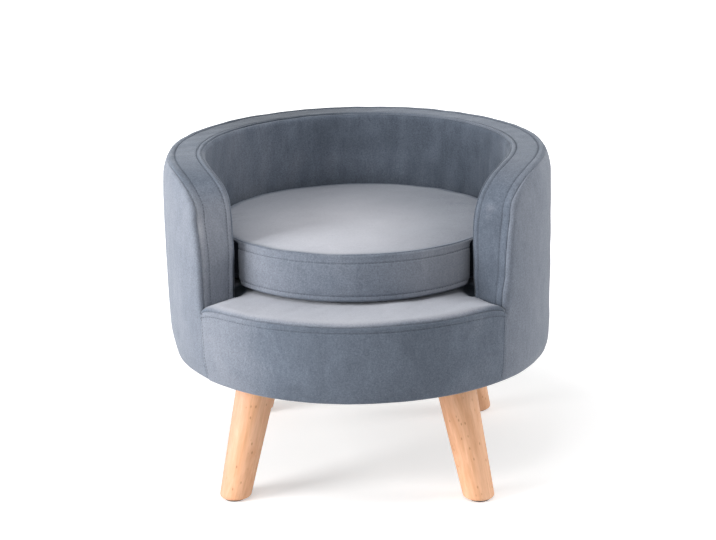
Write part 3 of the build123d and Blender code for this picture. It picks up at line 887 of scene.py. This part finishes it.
def bag_panel(name, first, last, fine_places, rises, outward=(0, 0, 0), radial=0):
    """A panel between two of the bag's rows. Negative fine places count from its end."""
    samples = np.linspace(first, last, 400)
    run = run_of(along_bag(samples, np.array([0.0]))[:, 0])
    length = run[-1]
    fine_places = [place if place >= 0 else length + place for place in fine_places]
    places = stepped(length, 4.0 * mm, fine_places, reach=3 * mm)
    points = pinched(along_bag(np.interp(places, run, samples), cushion_columns))
    normals = surface_normals(points)
    normals *= np.sign(((points - (0, 0, band_middle)) * normals).sum(-1).mean())
    points = raised(points, normals, rises(places, length - places, points))
    if radial:
        points = set_back_for_zip(points)
    points[:, -1] = points[:, 0]
    for row in (0, -1):
        if np.ptp(points[row, :, :2]) < 1 * mm:
            points[row] = points[row].mean(0)
    return lay_cloth(name, points, outward, radial), points, places


def band_rises(from_low, from_high, points):
    lines = seam_dip(from_low) + seam_dip(from_high)
    lines += stitch_dip(from_high - band_topstitch_high) + stitch_dip(from_low - band_topstitch_low)
    return lines[:, None] + 0.25 * mm * waves(points, 45 * mm, 12)


def top_rises(from_seam, from_middle, points):
    return seam_dip(from_seam)[:, None] + 0.3 * mm * waves(points, 55 * mm, 13)


def bottom_rises(from_middle, from_seam, points):
    return seam_dip(from_seam)[:, None] + 0 * points[..., 0]


cushion_band, band_points, band_places = bag_panel(
    "cushion_band_velvet", low_row, high_row,
    [0, band_topstitch_low, 20.5 * mm, 34.5 * mm, -band_topstitch_high, -0.01 * mm],
    band_rises, radial=1,
)
cushion_cap = bag_panel(
    "cushion_top_velvet", high_row, len(bag_rings) - 1, [0], top_rises, (0, 0, 1)
)[0]
cushion_base = bag_panel(
    "cushion_bottom_velvet", 0, low_row, [-0.01 * mm], bottom_rises, (0, 0, -1)
)[0]

# %% [markdown]
# ## Materials
# Every finish is a small tree of nodes that reads the piece's own coordinates. One helper adds
# the nodes and joins them: an input is either a value or the output of another node.

# %% Helper for materials
class Shading:
    """The nodes of a material or of the world, which end in its shader."""

    def __init__(self, owner, end="Principled BSDF"):
        owner.use_nodes = True
        self.owner = owner
        self.tree = owner.node_tree
        self.end = self.tree.nodes[end]

    def feed(self, node, inputs):
        """Set a node's inputs to values, or join them to other nodes' outputs."""
        for key, value in inputs.items():
            if isinstance(value, bpy.types.NodeSocket):
                self.tree.links.new(value, node.inputs[key])
            else:
                node.inputs[key].default_value = value

    def add(self, kind, output, inputs=None, **settings):
        """The output of a new node."""
        node = self.tree.nodes.new("ShaderNode" + kind)
        for key, value in settings.items():
            setattr(node, key, value)
        self.feed(node, inputs or {})
        return node.outputs[output]

    def place(self, kind="Object"):
        return self.add("TexCoord", kind)

    def mapped(self, source, **changes):
        return self.add("Mapping", "Vector", {"Vector": source, **changes})

    def noise(self, source, scale, detail=3.0, roughness=0.55, distortion=0.0):
        return self.add("TexNoise", "Fac", {
            "Vector": source, "Scale": scale, "Detail": detail, "Roughness": roughness,
            "Distortion": distortion,
        })

    def ramp(self, source, *stops):
        """A colour ramp with (place, colour) stops. A number stands for a grey."""
        colour = self.add("ValToRGB", "Color", {"Fac": source})
        elements = colour.node.color_ramp.elements
        while len(elements) < len(stops):
            elements.new(0.5)
        for element, (place, tone) in zip(elements, stops):
            element.position = place
            element.color = (*np.broadcast_to(tone, 3), 1)
        return colour

    def times(self, share, first, second):
        """A colour multiplied by another one, with a share between 0 and 1."""
        inputs = {0: share, 6: first, 7: second}
        return self.add("Mix", 2, inputs, data_type="RGBA", blend_type="MULTIPLY")

    def ranged(self, source, low, high, to_low=0.0, to_high=1.0):
        return self.add("MapRange", "Result", {
            "Value": source, "From Min": low, "From Max": high, "To Min": to_low, "To Max": to_high,
        })

    def bump(self, height, distance, strength=1.0, **normal):
        inputs = {"Height": height, "Distance": distance, "Strength": strength, **normal}
        return self.add("Bump", "Normal", inputs)

    def done(self, colour, roughness, normal, more=None):
        """Feed the shader and give back the material."""
        self.feed(self.end, {"Base Color": colour, "Roughness": roughness, "Normal": normal})
        self.feed(self.end, more or {})
        print("finish:", self.owner.name)
        return self.owner


def shading(name):
    """The nodes of a new material."""
    return Shading(bpy.data.materials.new(name))


def repaint(piece, material):
    """Give a piece one material all over."""
    piece.data.materials.clear()
    piece.data.materials.append(material)


# %% [markdown]
# Velvet is a dense pile of short fibres. It is dark where one looks down into the pile and pale
# where one looks across it, which the shader's sheen gives. Where the pile has been brushed the
# other way it changes tone in soft patches, which slow noise gives, and fast noise breaks it up.
# The colour also follows a value painted on the cloth, which is mostly painted light and painted
# shade: pale where the lamps and the sheen light the velvet, and darker in crevices.

# %% Velvet
velvet_dark = (0.052, 0.064, 0.084)
velvet_plain = (0.128, 0.151, 0.190)
# The pale colour is the colour of painted light, where the painted value nears 1.
velvet_painted_light = (0.50, 0.505, 0.55)


def velvet(name, seed=0.0):
    """Short-pile velvet: pale by its nap and painted light, darker by painted shade, with patches,
    strokes, grain and sheen.
    """
    cloth = shading(name)
    spot = cloth.mapped(cloth.place(), Location=(seed, 2 * seed, -seed))
    nap_and_painted_light = cloth.add("Attribute", "Fac", attribute_name="nap_and_painted_light")
    patches = cloth.noise(spot, 16, 3, 0.55, 0.8)
    uneven_nap_and_light = cloth.add("Math", 0, {0: patches, 1: 0.14, 2: nap_and_painted_light}, operation="MULTIPLY_ADD")
    colour = cloth.ramp(uneven_nap_and_light, (0.07, velvet_dark), (0.27, velvet_plain), (1.0, velvet_painted_light))
    share = cloth.ranged(uneven_nap_and_light, 0.3, 0.75, 0.7, 0.22)
    brushed = cloth.noise(cloth.mapped(spot, Scale=(1, 1, 0.3)), 85, 5, 0.7, 1.4)
    strokes = cloth.ramp(brushed, (0.3, (0.84, 0.84, 0.85)), (0.7, (1.14, 1.14, 1.13)))
    grain = cloth.noise(spot, 560, 4, 0.8)
    flecks = cloth.ramp(grain, (0.34, (0.62, 0.62, 0.64)), (0.66, (1.34, 1.34, 1.33)))
    colour = cloth.times(share, cloth.times(share, colour, strokes), flecks)
    # Painted shade: below zero the painted value scales the colour down, darkest at -1 deep in a
    # crevice.
    shade = cloth.ranged(nap_and_painted_light, -1.0, 0.0, 0.02, 1.0)
    colour = cloth.add("VectorMath", "Vector", {0: colour, "Scale": shade}, operation="SCALE")
    pile = cloth.bump(cloth.noise(spot, 1300, 2, 0.5), 0.4 * mm, 0.4)
    crush = cloth.bump(cloth.noise(spot, 210, 4, 0.6, 0.6), 1.0 * mm, 0.3, Normal=pile)
    return cloth.done(colour, 0.92, crush, {
        "Specular IOR Level": 0.12, "Sheen Weight": 0.35, "Sheen Roughness": 0.38,
        "Sheen Tint": (0.88, 0.93, 1.0, 1),
    })


tub_velvet = velvet("tub_velvet")
deck_cloth = velvet("deck_velvet", 0.7)
cushion_cloth = velvet("cushion_velvet", 1.9)

# %% [markdown]
# The painted value is about 0.2 where the velvet is plain, 0 where it is dark, 1 where it is pale
# and -1 deep in a crevice. Each panel has its own strokes, and most of them are painted light and
# painted shade: a pale deck roll and cushion top as if lit from above, pale sides of the tub where
# the side lamps light them, painted shade on the right of the lining, low on the arms and in the
# crevices beside the cushion, and a painted highlight on the strip's seam ridges. A few pale spots
# are added as well.

# %% Painting the nap, light and shade
def spots(places, *marks):
    """Soft patches: each mark is a place, a reach in millimetres and a strength."""
    total = np.zeros(len(places))
    for centre, reach, strength in marks:
        offset = (places - np.array(centre) * mm) / (np.array(reach) * mm)
        total += strength * np.exp(-(offset**2).sum(1))
    return total


# Painted light and shade on the strip: paler on the left arm, painted shade towards the arms' feet,
# darker round the back left of the rim, a painted highlight along both seam ridges, and a few pale
# spots on the arms.
def strip_nap_light_and_shade(p):
    reach, level = reach_of(p), p[:, 2]
    # Painted shade towards the arms' feet.
    foot_shade = 1 - ease(level, deck_top + 5 * mm, deck_top + 75 * mm)
    arm = 1 - ease(level, rim_top - 45 * mm, rim_top - 8 * mm)
    from_back_left = np.mod(around_of(p) + 2.6 + math.pi, 2 * math.pi) - math.pi
    # Painted highlight along both seam ridges.
    ridge_highlight = 0.03 * (1 - ease(reach, seam_inner + 3 * mm, seam_inner + 7 * mm))
    ridge_highlight += 0.03 * ease(reach, seam_outer - 9 * mm, seam_outer - 5 * mm)
    # Painted light on the left arm, and a little painted shade on the right one.
    sides = 0.19 * ease(-p[:, 0], 0, 60 * mm) - 0.03 * ease(p[:, 0], 0, 60 * mm)
    return 0.20 + sides * arm - 0.035 * foot_shade - 0.34 * bell(from_back_left, 0.55) + ridge_highlight + spots(
        p,
        ((-178, -145, 340), (5, 8, 15), 0.17), ((-177, -147, 305), (3, 6, 22), 0.07),
        ((197, -81, 392), (24, 40, 26), 0.07), ((163, -128, 360), (8, 12, 6), 0.15),
        ((160, -130, 349), (5, 9, 4), 0.11), ((164, -126, 334), (4, 8, 7), 0.09),
    )


# Painted light: the outer cover is painted paler towards its left and right sides, where the side
# lamps and the sheen light it.
def outer_nap_and_light(p):
    return 0.18 + 0.16 * ease(-p[:, 0], 0.10, 0.22) + 0.17 * ease(p[:, 0], 0.12, 0.23)


# Painted light and shade on the lining: darker on the right, paler on the left, darker high in the
# middle of the back, and a painted shade low beside the cushion, next to each arm. Soft pale
# patches and fine mottle vary it.
def lining_light_and_shade(p):
    middle = bell(p[:, 0], 0.09) * (p[:, 1] > 0)
    high = ease(p[:, 2], 340 * mm, 372 * mm)
    plain = 0.16 - 0.09 * ease(p[:, 0], 0.02, 0.14) + 0.08 * ease(-p[:, 0], 0.06, 0.15)
    plain += spots(p, ((-75, 168, 345), (40, 30, 30), 0.06), ((110, 150, 330), (14, 20, 60), 0.03))
    plain += middle * (0.02 - 0.08 * high) + 0.02 * waves(p * (1, 1, 0.5), 32 * mm, 41)
    # Painted shade in the crevice beside the cushion, low next to each arm.
    beside = 1 - ease(np.abs(around_of(p)), 1.0, 1.3)
    return plain - (plain + 0.45) * beside * (1 - ease(p[:, 2], deck_top + 10 * mm, top_seam))


# Painted light: the front panel is painted paler on the left, where the left lamp lights it, and a
# little paler on the right.
def front_nap_and_light(p):
    return 0.165 + 0.19 * ease(-p[:, 0], 0.06, 0.17) + 0.04 * ease(p[:, 0], 0.05, 0.15)


# Painted light and shade on the deck: its front roll painted pale as if lit from above, darker on
# the right, and a painted shade in the front corners beside the arms.
def deck_light_and_shade(p):
    reach = reach_of(p)
    down_roll = reach - (deck_edge - deck_round)
    down_roll += (deck_top - p[:, 2]) * (reach > well_radius + 20 * mm)
    # Painted light on the front roll, as if lit from above.
    edge = 1 - ease(down_roll + 1.2 * mm * waves(p, 120 * mm, 31), 0, 17 * mm)
    # Painted shade in the front corners beside the arms.
    corner = spots(np.abs(p), ((144, 101, deck_top / mm), (13, 15, 30), 1.5)) * (p[:, 1] < 0)
    plain = 0.18 + 0.57 * edge - 0.08 * ease(p[:, 0], 0.04, 0.15)
    return plain - (plain + 0.3) * np.minimum(corner, 1)


# Painted light on the cushion's top: pale inside its seam and palest in the middle towards the
# front, as if lit from above, a little paler at the back and darker on the right.
def top_light_and_shade(p):
    edge = 1 - ease(reach_of(p), cushion_radius - 11 * mm, cushion_radius - 0.5 * mm)
    middle = bell(p[:, 0] + 22 * mm, 118 * mm) * bell(p[:, 1] + 70 * mm, 150 * mm)
    sides = 0.05 * ease(p[:, 1], 0.05, 0.14) - 0.06 * ease(p[:, 0], 0.04, 0.12)
    return 0.22 + edge * (0.22 + 0.58 * middle + sides)


# Painted light and shade on the band: paler towards the left and more towards the right, and a
# painted shade where it is folded in beside the arms.
def band_light_and_shade(p):
    around = np.abs(around_of(p))
    # Painted shade where the band is folded in beside the arms.
    folded = ease(around, 0.925, 0.965) * (1 - ease(around, 0.97, 1.15))
    nap_and_painted_light = 0.25 + 0.12 * ease(-p[:, 0], 0.05, 0.14) + 0.22 * ease(p[:, 0], 0.03, 0.14)
    return nap_and_painted_light - (nap_and_painted_light + 0.25) * folded * (1 - ease(p[:, 2], top_seam - 9 * mm, top_seam))


def base_nap(p):
    return 0.2 + 0 * p[:, 0]


def paint_nap_and_light(piece, nap_and_light_of):
    """Paint the nap, with its painted light and shade, on every point of a piece."""
    nap_and_painted_light = np.clip(nap_and_light_of(read(piece.data.vertices, "co", 3)), -1, 1)
    layer = piece.data.attributes.new("nap_and_painted_light", "FLOAT", "POINT")
    layer.data.foreach_set("value", nap_and_painted_light.astype(np.float32))


# %% [markdown]
# Each velvet piece gets its painted nap, light and shade, its thickness and its material, rides its
# body and stands for the cloth and the padding of the CAD model.

# %% Dressing the pieces
tub_fill, cushion_fill = 0.9, 0.7
tub_look = (tub_velvet, "tub_velvet", "tub", tub_fill)
deck_look = (deck_cloth, "deck_velvet", "tub", tub_fill)
cushion_look = (cushion_cloth, "cushion_velvet", "cushion", cushion_fill)
for piece, nap_and_light_of, (material, slot, body, fill), *replaced in (
    (rim_strip, strip_nap_light_and_shade, tub_look, "rim_strip", "rim_foam"),
    (outer_panel, outer_nap_and_light, tub_look, "outer_cover", "outer_foam"),
    (lining, lining_light_and_shade, tub_look, "inner_cover", "well_foam"),
    (front_panel, front_nap_and_light, tub_look, "front_panel", "front_foam"),
    (deck, deck_light_and_shade, deck_look, "deck_cover", "seat_foam"),
    (cushion_cap, top_light_and_shade, cushion_look, "cushion_top_panel", "cushion_core"),
    (cushion_band, band_light_and_shade, cushion_look, "cushion_band"),
    (cushion_base, base_nap, cushion_look, "cushion_bottom_panel"),
):
    paint_nap_and_light(piece, nap_and_light_of)
    thicken(piece)
    repaint(piece, material)
    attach(piece, body)
    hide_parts(*replaced)
    print(piece.name, "stands for", replaced)

# %% [markdown]
# ## Topstitching
# One stitch is a short thread with tapered ends. It is made once, from a small sphere that is
# pulled long, and then copied along each line of stitching, where it lies in its groove.

# %% Stitches
stitch_pitch = 4.0 * mm
side_stitch = 2.6 * mm


def bead(half_sizes):
    """The points and faces of a small round piece with the given half sizes."""
    bpy.ops.object.select_all(action="DESELECT")
    bpy.ops.mesh.primitive_uv_sphere_add(segments=6, ring_count=4, radius=1)
    piece = bpy.context.object
    bpy.ops.transform.resize(value=half_sizes)
    bpy.ops.object.transform_apply(location=False, rotation=False, scale=True)
    points = read(piece.data.vertices, "co", 3)
    faces = [tuple(face.vertices) for face in piece.data.polygons]
    bpy.data.objects.remove(piece)
    return points, faces


def row_of_beads(name, one, places, along, outward):
    """Copies of one small piece, each turned into line, as one mesh."""
    points, faces = one
    side = np.cross(outward, along)
    side /= np.linalg.norm(side, axis=1, keepdims=True)
    along = along / np.linalg.norm(along, axis=1, keepdims=True)
    turns = np.stack([along, side, np.cross(along, side)], axis=1)
    every = places[:, None, :] + np.einsum("vk,nkj->nvj", points, turns)
    starts = range(0, len(points) * len(places), len(points))
    all_faces = [tuple(start + v for v in face) for start in starts for face in faces]
    mesh = bpy.data.meshes.new(name)
    mesh.from_pydata(every.reshape(-1, 3).tolist(), [], all_faces)
    mesh.shade_smooth()
    print(name, "-", len(places), "copies,", len(all_faces), "faces")
    return placed(name, mesh)


def stitched(name, points, places, at, radial):
    """A row of stitches along a panel, at a distance from its first row."""
    normals = surface_normals(points)
    row = np.interp(at, places, np.arange(len(places)))
    low, share = int(row), row - int(row)
    high = min(low + 1, len(places) - 1)
    line = points[low] * (1 - share) + points[high] * share
    normal = normals[low] * (1 - share) + normals[high] * share
    run = run_of(line)
    even_places = np.arange(stitch_pitch / 2, run[-1], stitch_pitch)

    def even(values):
        return np.stack([np.interp(even_places, run, side) for side in values.T], axis=1)

    away = line * (1, 1, 0) if radial else np.array((0, -0.3, 1))
    normal = normal * np.sign((normal * away).sum(1).mean())
    on_cloth = even(line) + even(normal) * 0.22 * mm
    return row_of_beads(name, stitch, on_cloth, even(np.gradient(line, axis=0)), even(normal))


def thread_finish(name, dark, light):
    """Twisted sewing thread."""
    strand = shading(name)
    twist = strand.noise(strand.place(), 2600, 2, 0.5)
    return strand.done(
        strand.ramp(twist, (0.35, dark), (0.65, light)), 0.7, strand.bump(twist, 0.1 * mm)
    )


stitch = bead((1.45 * mm, 0.30 * mm, 0.26 * mm))
thread = thread_finish("slate_thread", (0.05, 0.06, 0.08), (0.11, 0.13, 0.165))
side_points = front_points.transpose(1, 0, 2)
strip_outer_line = strip_width - topstitch_outer
band_high = band_places[-1] - band_topstitch_high
for name, body, *line in (
    ("strip_stitches_inner", "tub", strip_points, strip_places, topstitch_inner, False),
    ("strip_stitches_outer", "tub", strip_points, strip_places, strip_outer_line, False),
    ("deck_stitches", "tub", front_points, front_drop, deck_topstitch, True),
    ("side_stitches_left", "tub", side_points, front_places, side_stitch, True),
    ("side_stitches_right", "tub", side_points, front_places, front_reach - side_stitch, True),
    ("band_stitches_low", "cushion", band_points, band_places, band_topstitch_low, True),
    ("band_stitches_high", "cushion", band_points, band_places, band_high, True),
):
    row = stitched(name, *line)
    row.data.materials.append(thread)
    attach(row, body)

# %% [markdown]
# ## The cushion's zip
# The band opens at the back with a coil zip, so that the cushion can be washed. A narrow woven
# tape lies in a slot between two folded edges of velvet, with the coil along its middle.

# %% Zip
tooth_pitch = 1.4 * mm
tape_columns = np.linspace(math.pi - zip_half_angle, math.pi + zip_half_angle, 160)
tape_rows = np.linspace(-zip_tape_half, zip_tape_half, 13)
tape_radius = band_outer - 0.55 * mm + 0.15 * mm * np.cos(tape_rows / zip_tape_half * 3 * math.pi)
zip_tape = lay_cloth(
    "zip_tape_woven", rings(tape_radius, band_middle + tape_rows, tape_columns), radial=1
)
thicken(zip_tape, 0.5 * mm)
tooth = bead((0.52 * mm, 1.55 * mm, 0.62 * mm))
tooth_count = int(2 * zip_half_angle * band_outer / tooth_pitch) - 2
tooth_angles = math.pi + (np.arange(tooth_count) - (tooth_count - 1) / 2) * tooth_pitch / band_outer
zip_coil = row_of_beads(
    "zip_coil", tooth, polar(band_outer + 0.35 * mm, tooth_angles, band_middle),
    polar(1, tooth_angles + math.pi / 2, 0), polar(1, tooth_angles, 0),
)


def tape_finish(name):
    """Woven zip tape: fine lengthwise ribs across the cloth's own UV map."""
    tape = shading(name)
    inputs = {"Vector": tape.place("UV"), "Scale": 160}
    ribs = tape.add("TexWave", "Fac", inputs, bands_direction="Y")
    colour = tape.ramp(ribs, (0.2, (0.045, 0.055, 0.075)), (0.8, (0.10, 0.12, 0.155)))
    return tape.done(colour, 0.85, tape.bump(ribs, 0.2 * mm))


repaint(zip_tape, tape_finish("woven_tape"))
repaint(zip_coil, thread_finish("coil_nylon", (0.06, 0.07, 0.095), (0.11, 0.13, 0.165)))
for piece in (zip_tape, zip_coil):
    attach(piece, "cushion")
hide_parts("cushion_zip")

# %% [markdown]
# The slider comes from the frame. Its pull tab hangs below it, is a little narrower at its upper
# end and rides the slider's body.

# %% Pull tab
pull_turn = math.radians(52)
pull_size = (4.6 * mm, 0.8 * mm, 13 * mm)
bpy.ops.object.select_all(action="DESELECT")
bpy.ops.mesh.primitive_cube_add(size=1)
pull = bpy.context.object
pull.name = pull.data.name = "zip_pull"
bpy.ops.transform.resize(value=pull_size)
bpy.ops.object.transform_apply(location=False, rotation=False, scale=True)
edit_all(bpy.ops.mesh.bevel, offset=0.35 * mm, segments=3, affect="EDGES")
for vertex in pull.data.vertices:
    vertex.co.x *= 0.72 + 0.28 * (0.5 - vertex.co.z / pull_size[2])
    vertex.co.z -= 5.2 * mm
pull.rotation_euler = (0, 0, -pull_turn)
pull_way = Vector((math.sin(pull_turn), math.cos(pull_turn), 0))
pull.location = pull_way * (band_outer + 2.95 * mm) + Vector((0, 0, band_middle))
bpy.ops.object.transform_apply(location=True, rotation=True, scale=False)
bpy.ops.object.shade_smooth_by_angle(angle=math.radians(40))
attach(pull, "zip_slider")
print("pull tab:", len(pull.data.polygons), "faces")

# %% [markdown]
# ## The dust cover
# Thin black non-woven cloth closes the underside. It is stapled round its edge and sags a
# little in between, and the legs press it flat where they stand against it.

# %% Dust cover
dust_radius = float(barrel(underside)) - hem_width + 9 * mm
dust_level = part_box("dust_cover")[0].z
leg_root = (tub_radius - 73.8 * mm) / math.sqrt(2)
leg_sides = {
    "front_left": (-1, -1), "front_right": (1, -1), "rear_left": (-1, 1), "rear_right": (1, 1)
}
dust_rings = np.linspace(0, dust_radius, 42)
dust_columns = np.linspace(0, 2 * math.pi, 193)
dust_points = rings(dust_rings, 0 * dust_rings + dust_level + 0.4 * mm, dust_columns)
dust_share = dust_rings[:, None] / dust_radius
from_leg = np.min([
    np.hypot(dust_points[..., 0] - x * leg_root, dust_points[..., 1] - y * leg_root)
    for x, y in leg_sides.values()
], axis=0)
free = ease(from_leg, 26 * mm, 70 * mm) * (1 - dust_share**2)
puckers = 0.35 * mm * np.cos(24 * dust_columns) * dust_share**6
dust_points[..., 2] -= (2.0 * mm + 0.7 * mm * waves(dust_points, 70 * mm, 21)) * free - puckers
dust = lay_cloth("dust_cover_cloth", dust_points, (0, 0, -1))


def non_woven(name):
    """Black non-woven cloth: short matted fibres and a fine pressed dot pattern."""
    felt = shading(name)
    place = felt.place()
    fibres = felt.noise(place, 420, 5, 0.7, 1.5)
    inputs = {"Vector": place, "Scale": 480, "Randomness": 0.1}
    dots = felt.add("TexVoronoi", "Distance", inputs, feature="F1")
    colour = felt.ramp(fibres, (0.3, (0.012, 0.012, 0.013)), (0.7, (0.035, 0.035, 0.037)))
    colour = felt.times(1.0, colour, felt.ramp(dots, (0.2, 0.6), (0.4, 1)))
    return felt.done(colour, 0.85, felt.bump(fibres, 0.2 * mm))


repaint(dust, non_woven("black_non_woven"))
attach(dust, "tub")
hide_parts("dust_cover")

# %% [markdown]
# ## Wood
# The legs are turned from pale honey pine. Their grain runs along each leg, so the pattern is
# stretched along a direction that a Mapping node turns into line with the leg. Across each leg
# the colour is painted darker on one side and lighter on the other, as painted shade and
# painted light that even out how the lamps light the legs, strongly on the two left legs and
# only slightly on the right ones.

# %% Wood
leg_splay = 45.2 * mm / math.sqrt(2)
leg_half_width = 21 * mm
pine_light, pine_dark = (0.87, 0.505, 0.31), (0.78, 0.42, 0.235)
# Painted shade and painted light at the two sides of each leg: the left legs darker on one side and
# lighter on the other, the right legs nearly even.
left_legs_side_light = ((0.83, 0.79, 0.88), (1.12, 1.17, 1.24))
right_legs_side_light = ((0.97, 0.95, 0.96), (1.0, 1.02, 1.04))


def pine(name, axis, root, seed, sides):
    """Turned pine with its grain along an axis, fine lines, small flecks and a satin lacquer."""
    wood = shading(name)
    turned_to = Vector(axis).normalized().rotation_difference(Vector((0, 0, 1))).to_euler()
    turned = wood.mapped(wood.place(), Rotation=turned_to, Location=(seed, seed, seed))
    middle = (turned_to.to_matrix() @ Vector(root)).x + seed
    across = wood.add("SeparateXYZ", "X", {0: turned})
    # Painted light and shade across the leg: one side darker, the other lighter.
    side = wood.ranged(across, middle - leg_half_width, middle + leg_half_width)
    painted_side_light = wood.ramp(side, (0.1, sides[0]), (0.5, 1), (0.9, sides[1]))
    stretched = wood.mapped(turned, Scale=(1, 1, 0.06))
    grain = wood.noise(stretched, 130, 5, 0.6, 0.4)
    colour = wood.ramp(grain, (0.3, pine_dark), (0.62, pine_light))
    lines = wood.noise(stretched, 520, 3, 0.6)
    fine = wood.ramp(lines, (0.35, (0.88, 0.84, 0.79)), (0.6, 1.03))
    figure = wood.noise(wood.mapped(turned, Scale=(1, 1, 0.3)), 42, 5, 0.65, 1.6)
    brown = wood.ramp(figure, (0.44, (1.03, 1.04, 1.05)), (0.68, (0.86, 0.74, 0.62)))
    oval = wood.mapped(turned, Scale=(1.6, 1.6, 0.8))
    dots = wood.add("TexVoronoi", "Distance", {"Vector": oval, "Scale": 95})
    flecks = wood.ramp(dots, (0.08, (0.55, 0.38, 0.25)), (0.19, 1))
    for share, pattern in ((0.6, fine), (0.6, brown), (1.0, painted_side_light), (0.65, flecks)):
        colour = wood.times(share, colour, pattern)
    return wood.done(colour, 0.5, wood.bump(lines, 0.3 * mm, 0.12), {
        "Specular IOR Level": 0.35, "Coat Weight": 0.1, "Coat Roughness": 0.3,
    })


for name, (x, y) in leg_sides.items():
    axis = (-x * leg_splay, -y * leg_splay, underside)
    root = (x * leg_root, y * leg_root, underside)
    sides = left_legs_side_light if x < 0 else right_legs_side_light
    repaint(nodes[f"leg_{name}"], pine(f"pine_{name}", axis, root, 1.3 * x + 0.4 * y, sides))

# %% [markdown]
# ## The hidden parts
# The frame of the tub, its fasteners and the glides keep their CAD meshes. Each one gets a
# simple mottled finish, so that it looks right when the cloth is taken off.

# %% Hidden parts
def plain_finish(
    name, first, second, scale, stretch=(1, 1, 1), roughness=0.6, metallic=0.0, bump=0.1
):
    """A simple mottled finish for wood, board, metal, plastic or felt."""
    plain = shading(name)
    mottle = plain.noise(plain.mapped(plain.place(), Scale=stretch), scale, 4)
    colour = plain.ramp(mottle, (0.3, first), (0.7, second))
    return plain.done(colour, roughness, plain.bump(mottle, 0.4 * mm, bump), {"Metallic": metallic})


plywood = plain_finish("birch_plywood", (0.62, 0.44, 0.26), (0.76, 0.58, 0.38), 90, (0.15, 1, 6))
battens = plain_finish("pine_battens", (0.66, 0.44, 0.24), (0.80, 0.60, 0.38), 140, (1, 1, 0.08))
fibreboard = plain_finish("fibreboard", (0.26, 0.17, 0.10), (0.36, 0.25, 0.15), 700, bump=0.3)
steel = plain_finish(
    "plated_steel", (0.62, 0.62, 0.60), (0.74, 0.74, 0.72), 400, roughness=0.3, metallic=1
)
glide_plastic = plain_finish(
    "glide_plastic", (0.035, 0.032, 0.03), (0.06, 0.055, 0.05), 500, roughness=0.55
)
for material, names in (
    (plywood, "bottom_board seat_board top_rail"),
    (battens, "base_posts wall_posts arm_post_left arm_post_right leg_blocks"),
    (fibreboard, "outer_shell inner_shell"),
    (steel, "base_screws_lower base_screws_upper post_screws rail_screws staples tee_nuts"),
    (steel, "hanger_bolts zip_slider"),
    (glide_plastic, "glide_front_left glide_front_right glide_rear_left glide_rear_right"),
):
    for name in names.split():
        repaint(nodes[name], material)
repaint(pull, steel)

# %% [markdown]
# ## The studio
# The sofa stands on a plain pale floor that keeps its shadow and passes into a white
# background. Three large soft lamps light it from above, from the left and from the right.

# %% Floor and soft studio light
def area_light(name, place, aim_height, size, watts):
    """A large soft lamp that looks at a height on the axis."""
    data = bpy.data.lights.new(name, "AREA")
    data.shape = "RECTANGLE"
    data.size, data.size_y = size
    data.energy = watts
    light = placed(name, data)
    light.location = place
    look_way = Vector((0, 0, aim_height)) - Vector(place)
    light.rotation_euler = look_way.to_track_quat("-Z", "Y").to_euler()


bpy.ops.object.select_all(action="DESELECT")
bpy.ops.mesh.primitive_plane_add(size=30)
floor = bpy.context.object
floor.name = "floor"
ground = shading("studio_floor")
on_floor = ground.place()
from_middle = ground.add("VectorMath", "Value", {0: on_floor}, operation="LENGTH")
farther = ground.ranged(from_middle, 0.35, 1.1, 0.42, 1.0)
seen = ground.add("LightPath", "Is Camera Ray")
ground.feed(ground.end, {
    "Base Color": ground.ramp(ground.noise(on_floor, 2, 1), (0.3, 0.80), (0.7, 0.81)),
    "Roughness": 0.9, "Emission Color": (1, 1, 1, 1),
    "Emission Strength": ground.add("Math", 0, {0: seen, 1: farther}, operation="MULTIPLY"),
})
floor.data.materials.append(ground.owner)

scene.world = bpy.data.worlds.new("studio")
sky = Shading(scene.world, "Background")
brightness = sky.ranged(sky.add("LightPath", "Is Camera Ray"), 0.0, 1.0, 0.48, 1.0)
sky.feed(sky.end, {"Color": (1, 1, 1, 1), "Strength": brightness})
area_light("top", (-0.3, -0.9, 2.2), 0.3, (1.0, 1.0), 14)
area_light("left", (-2.0, -1.0, 0.85), 0.28, (1.0, 1.4), 62)
area_light("right", (2.3, 0.2, 0.9), 0.28, (1.0, 1.4), 25)
scene.view_settings.view_transform = "Standard"
print("lamps:", len(bpy.data.lights))
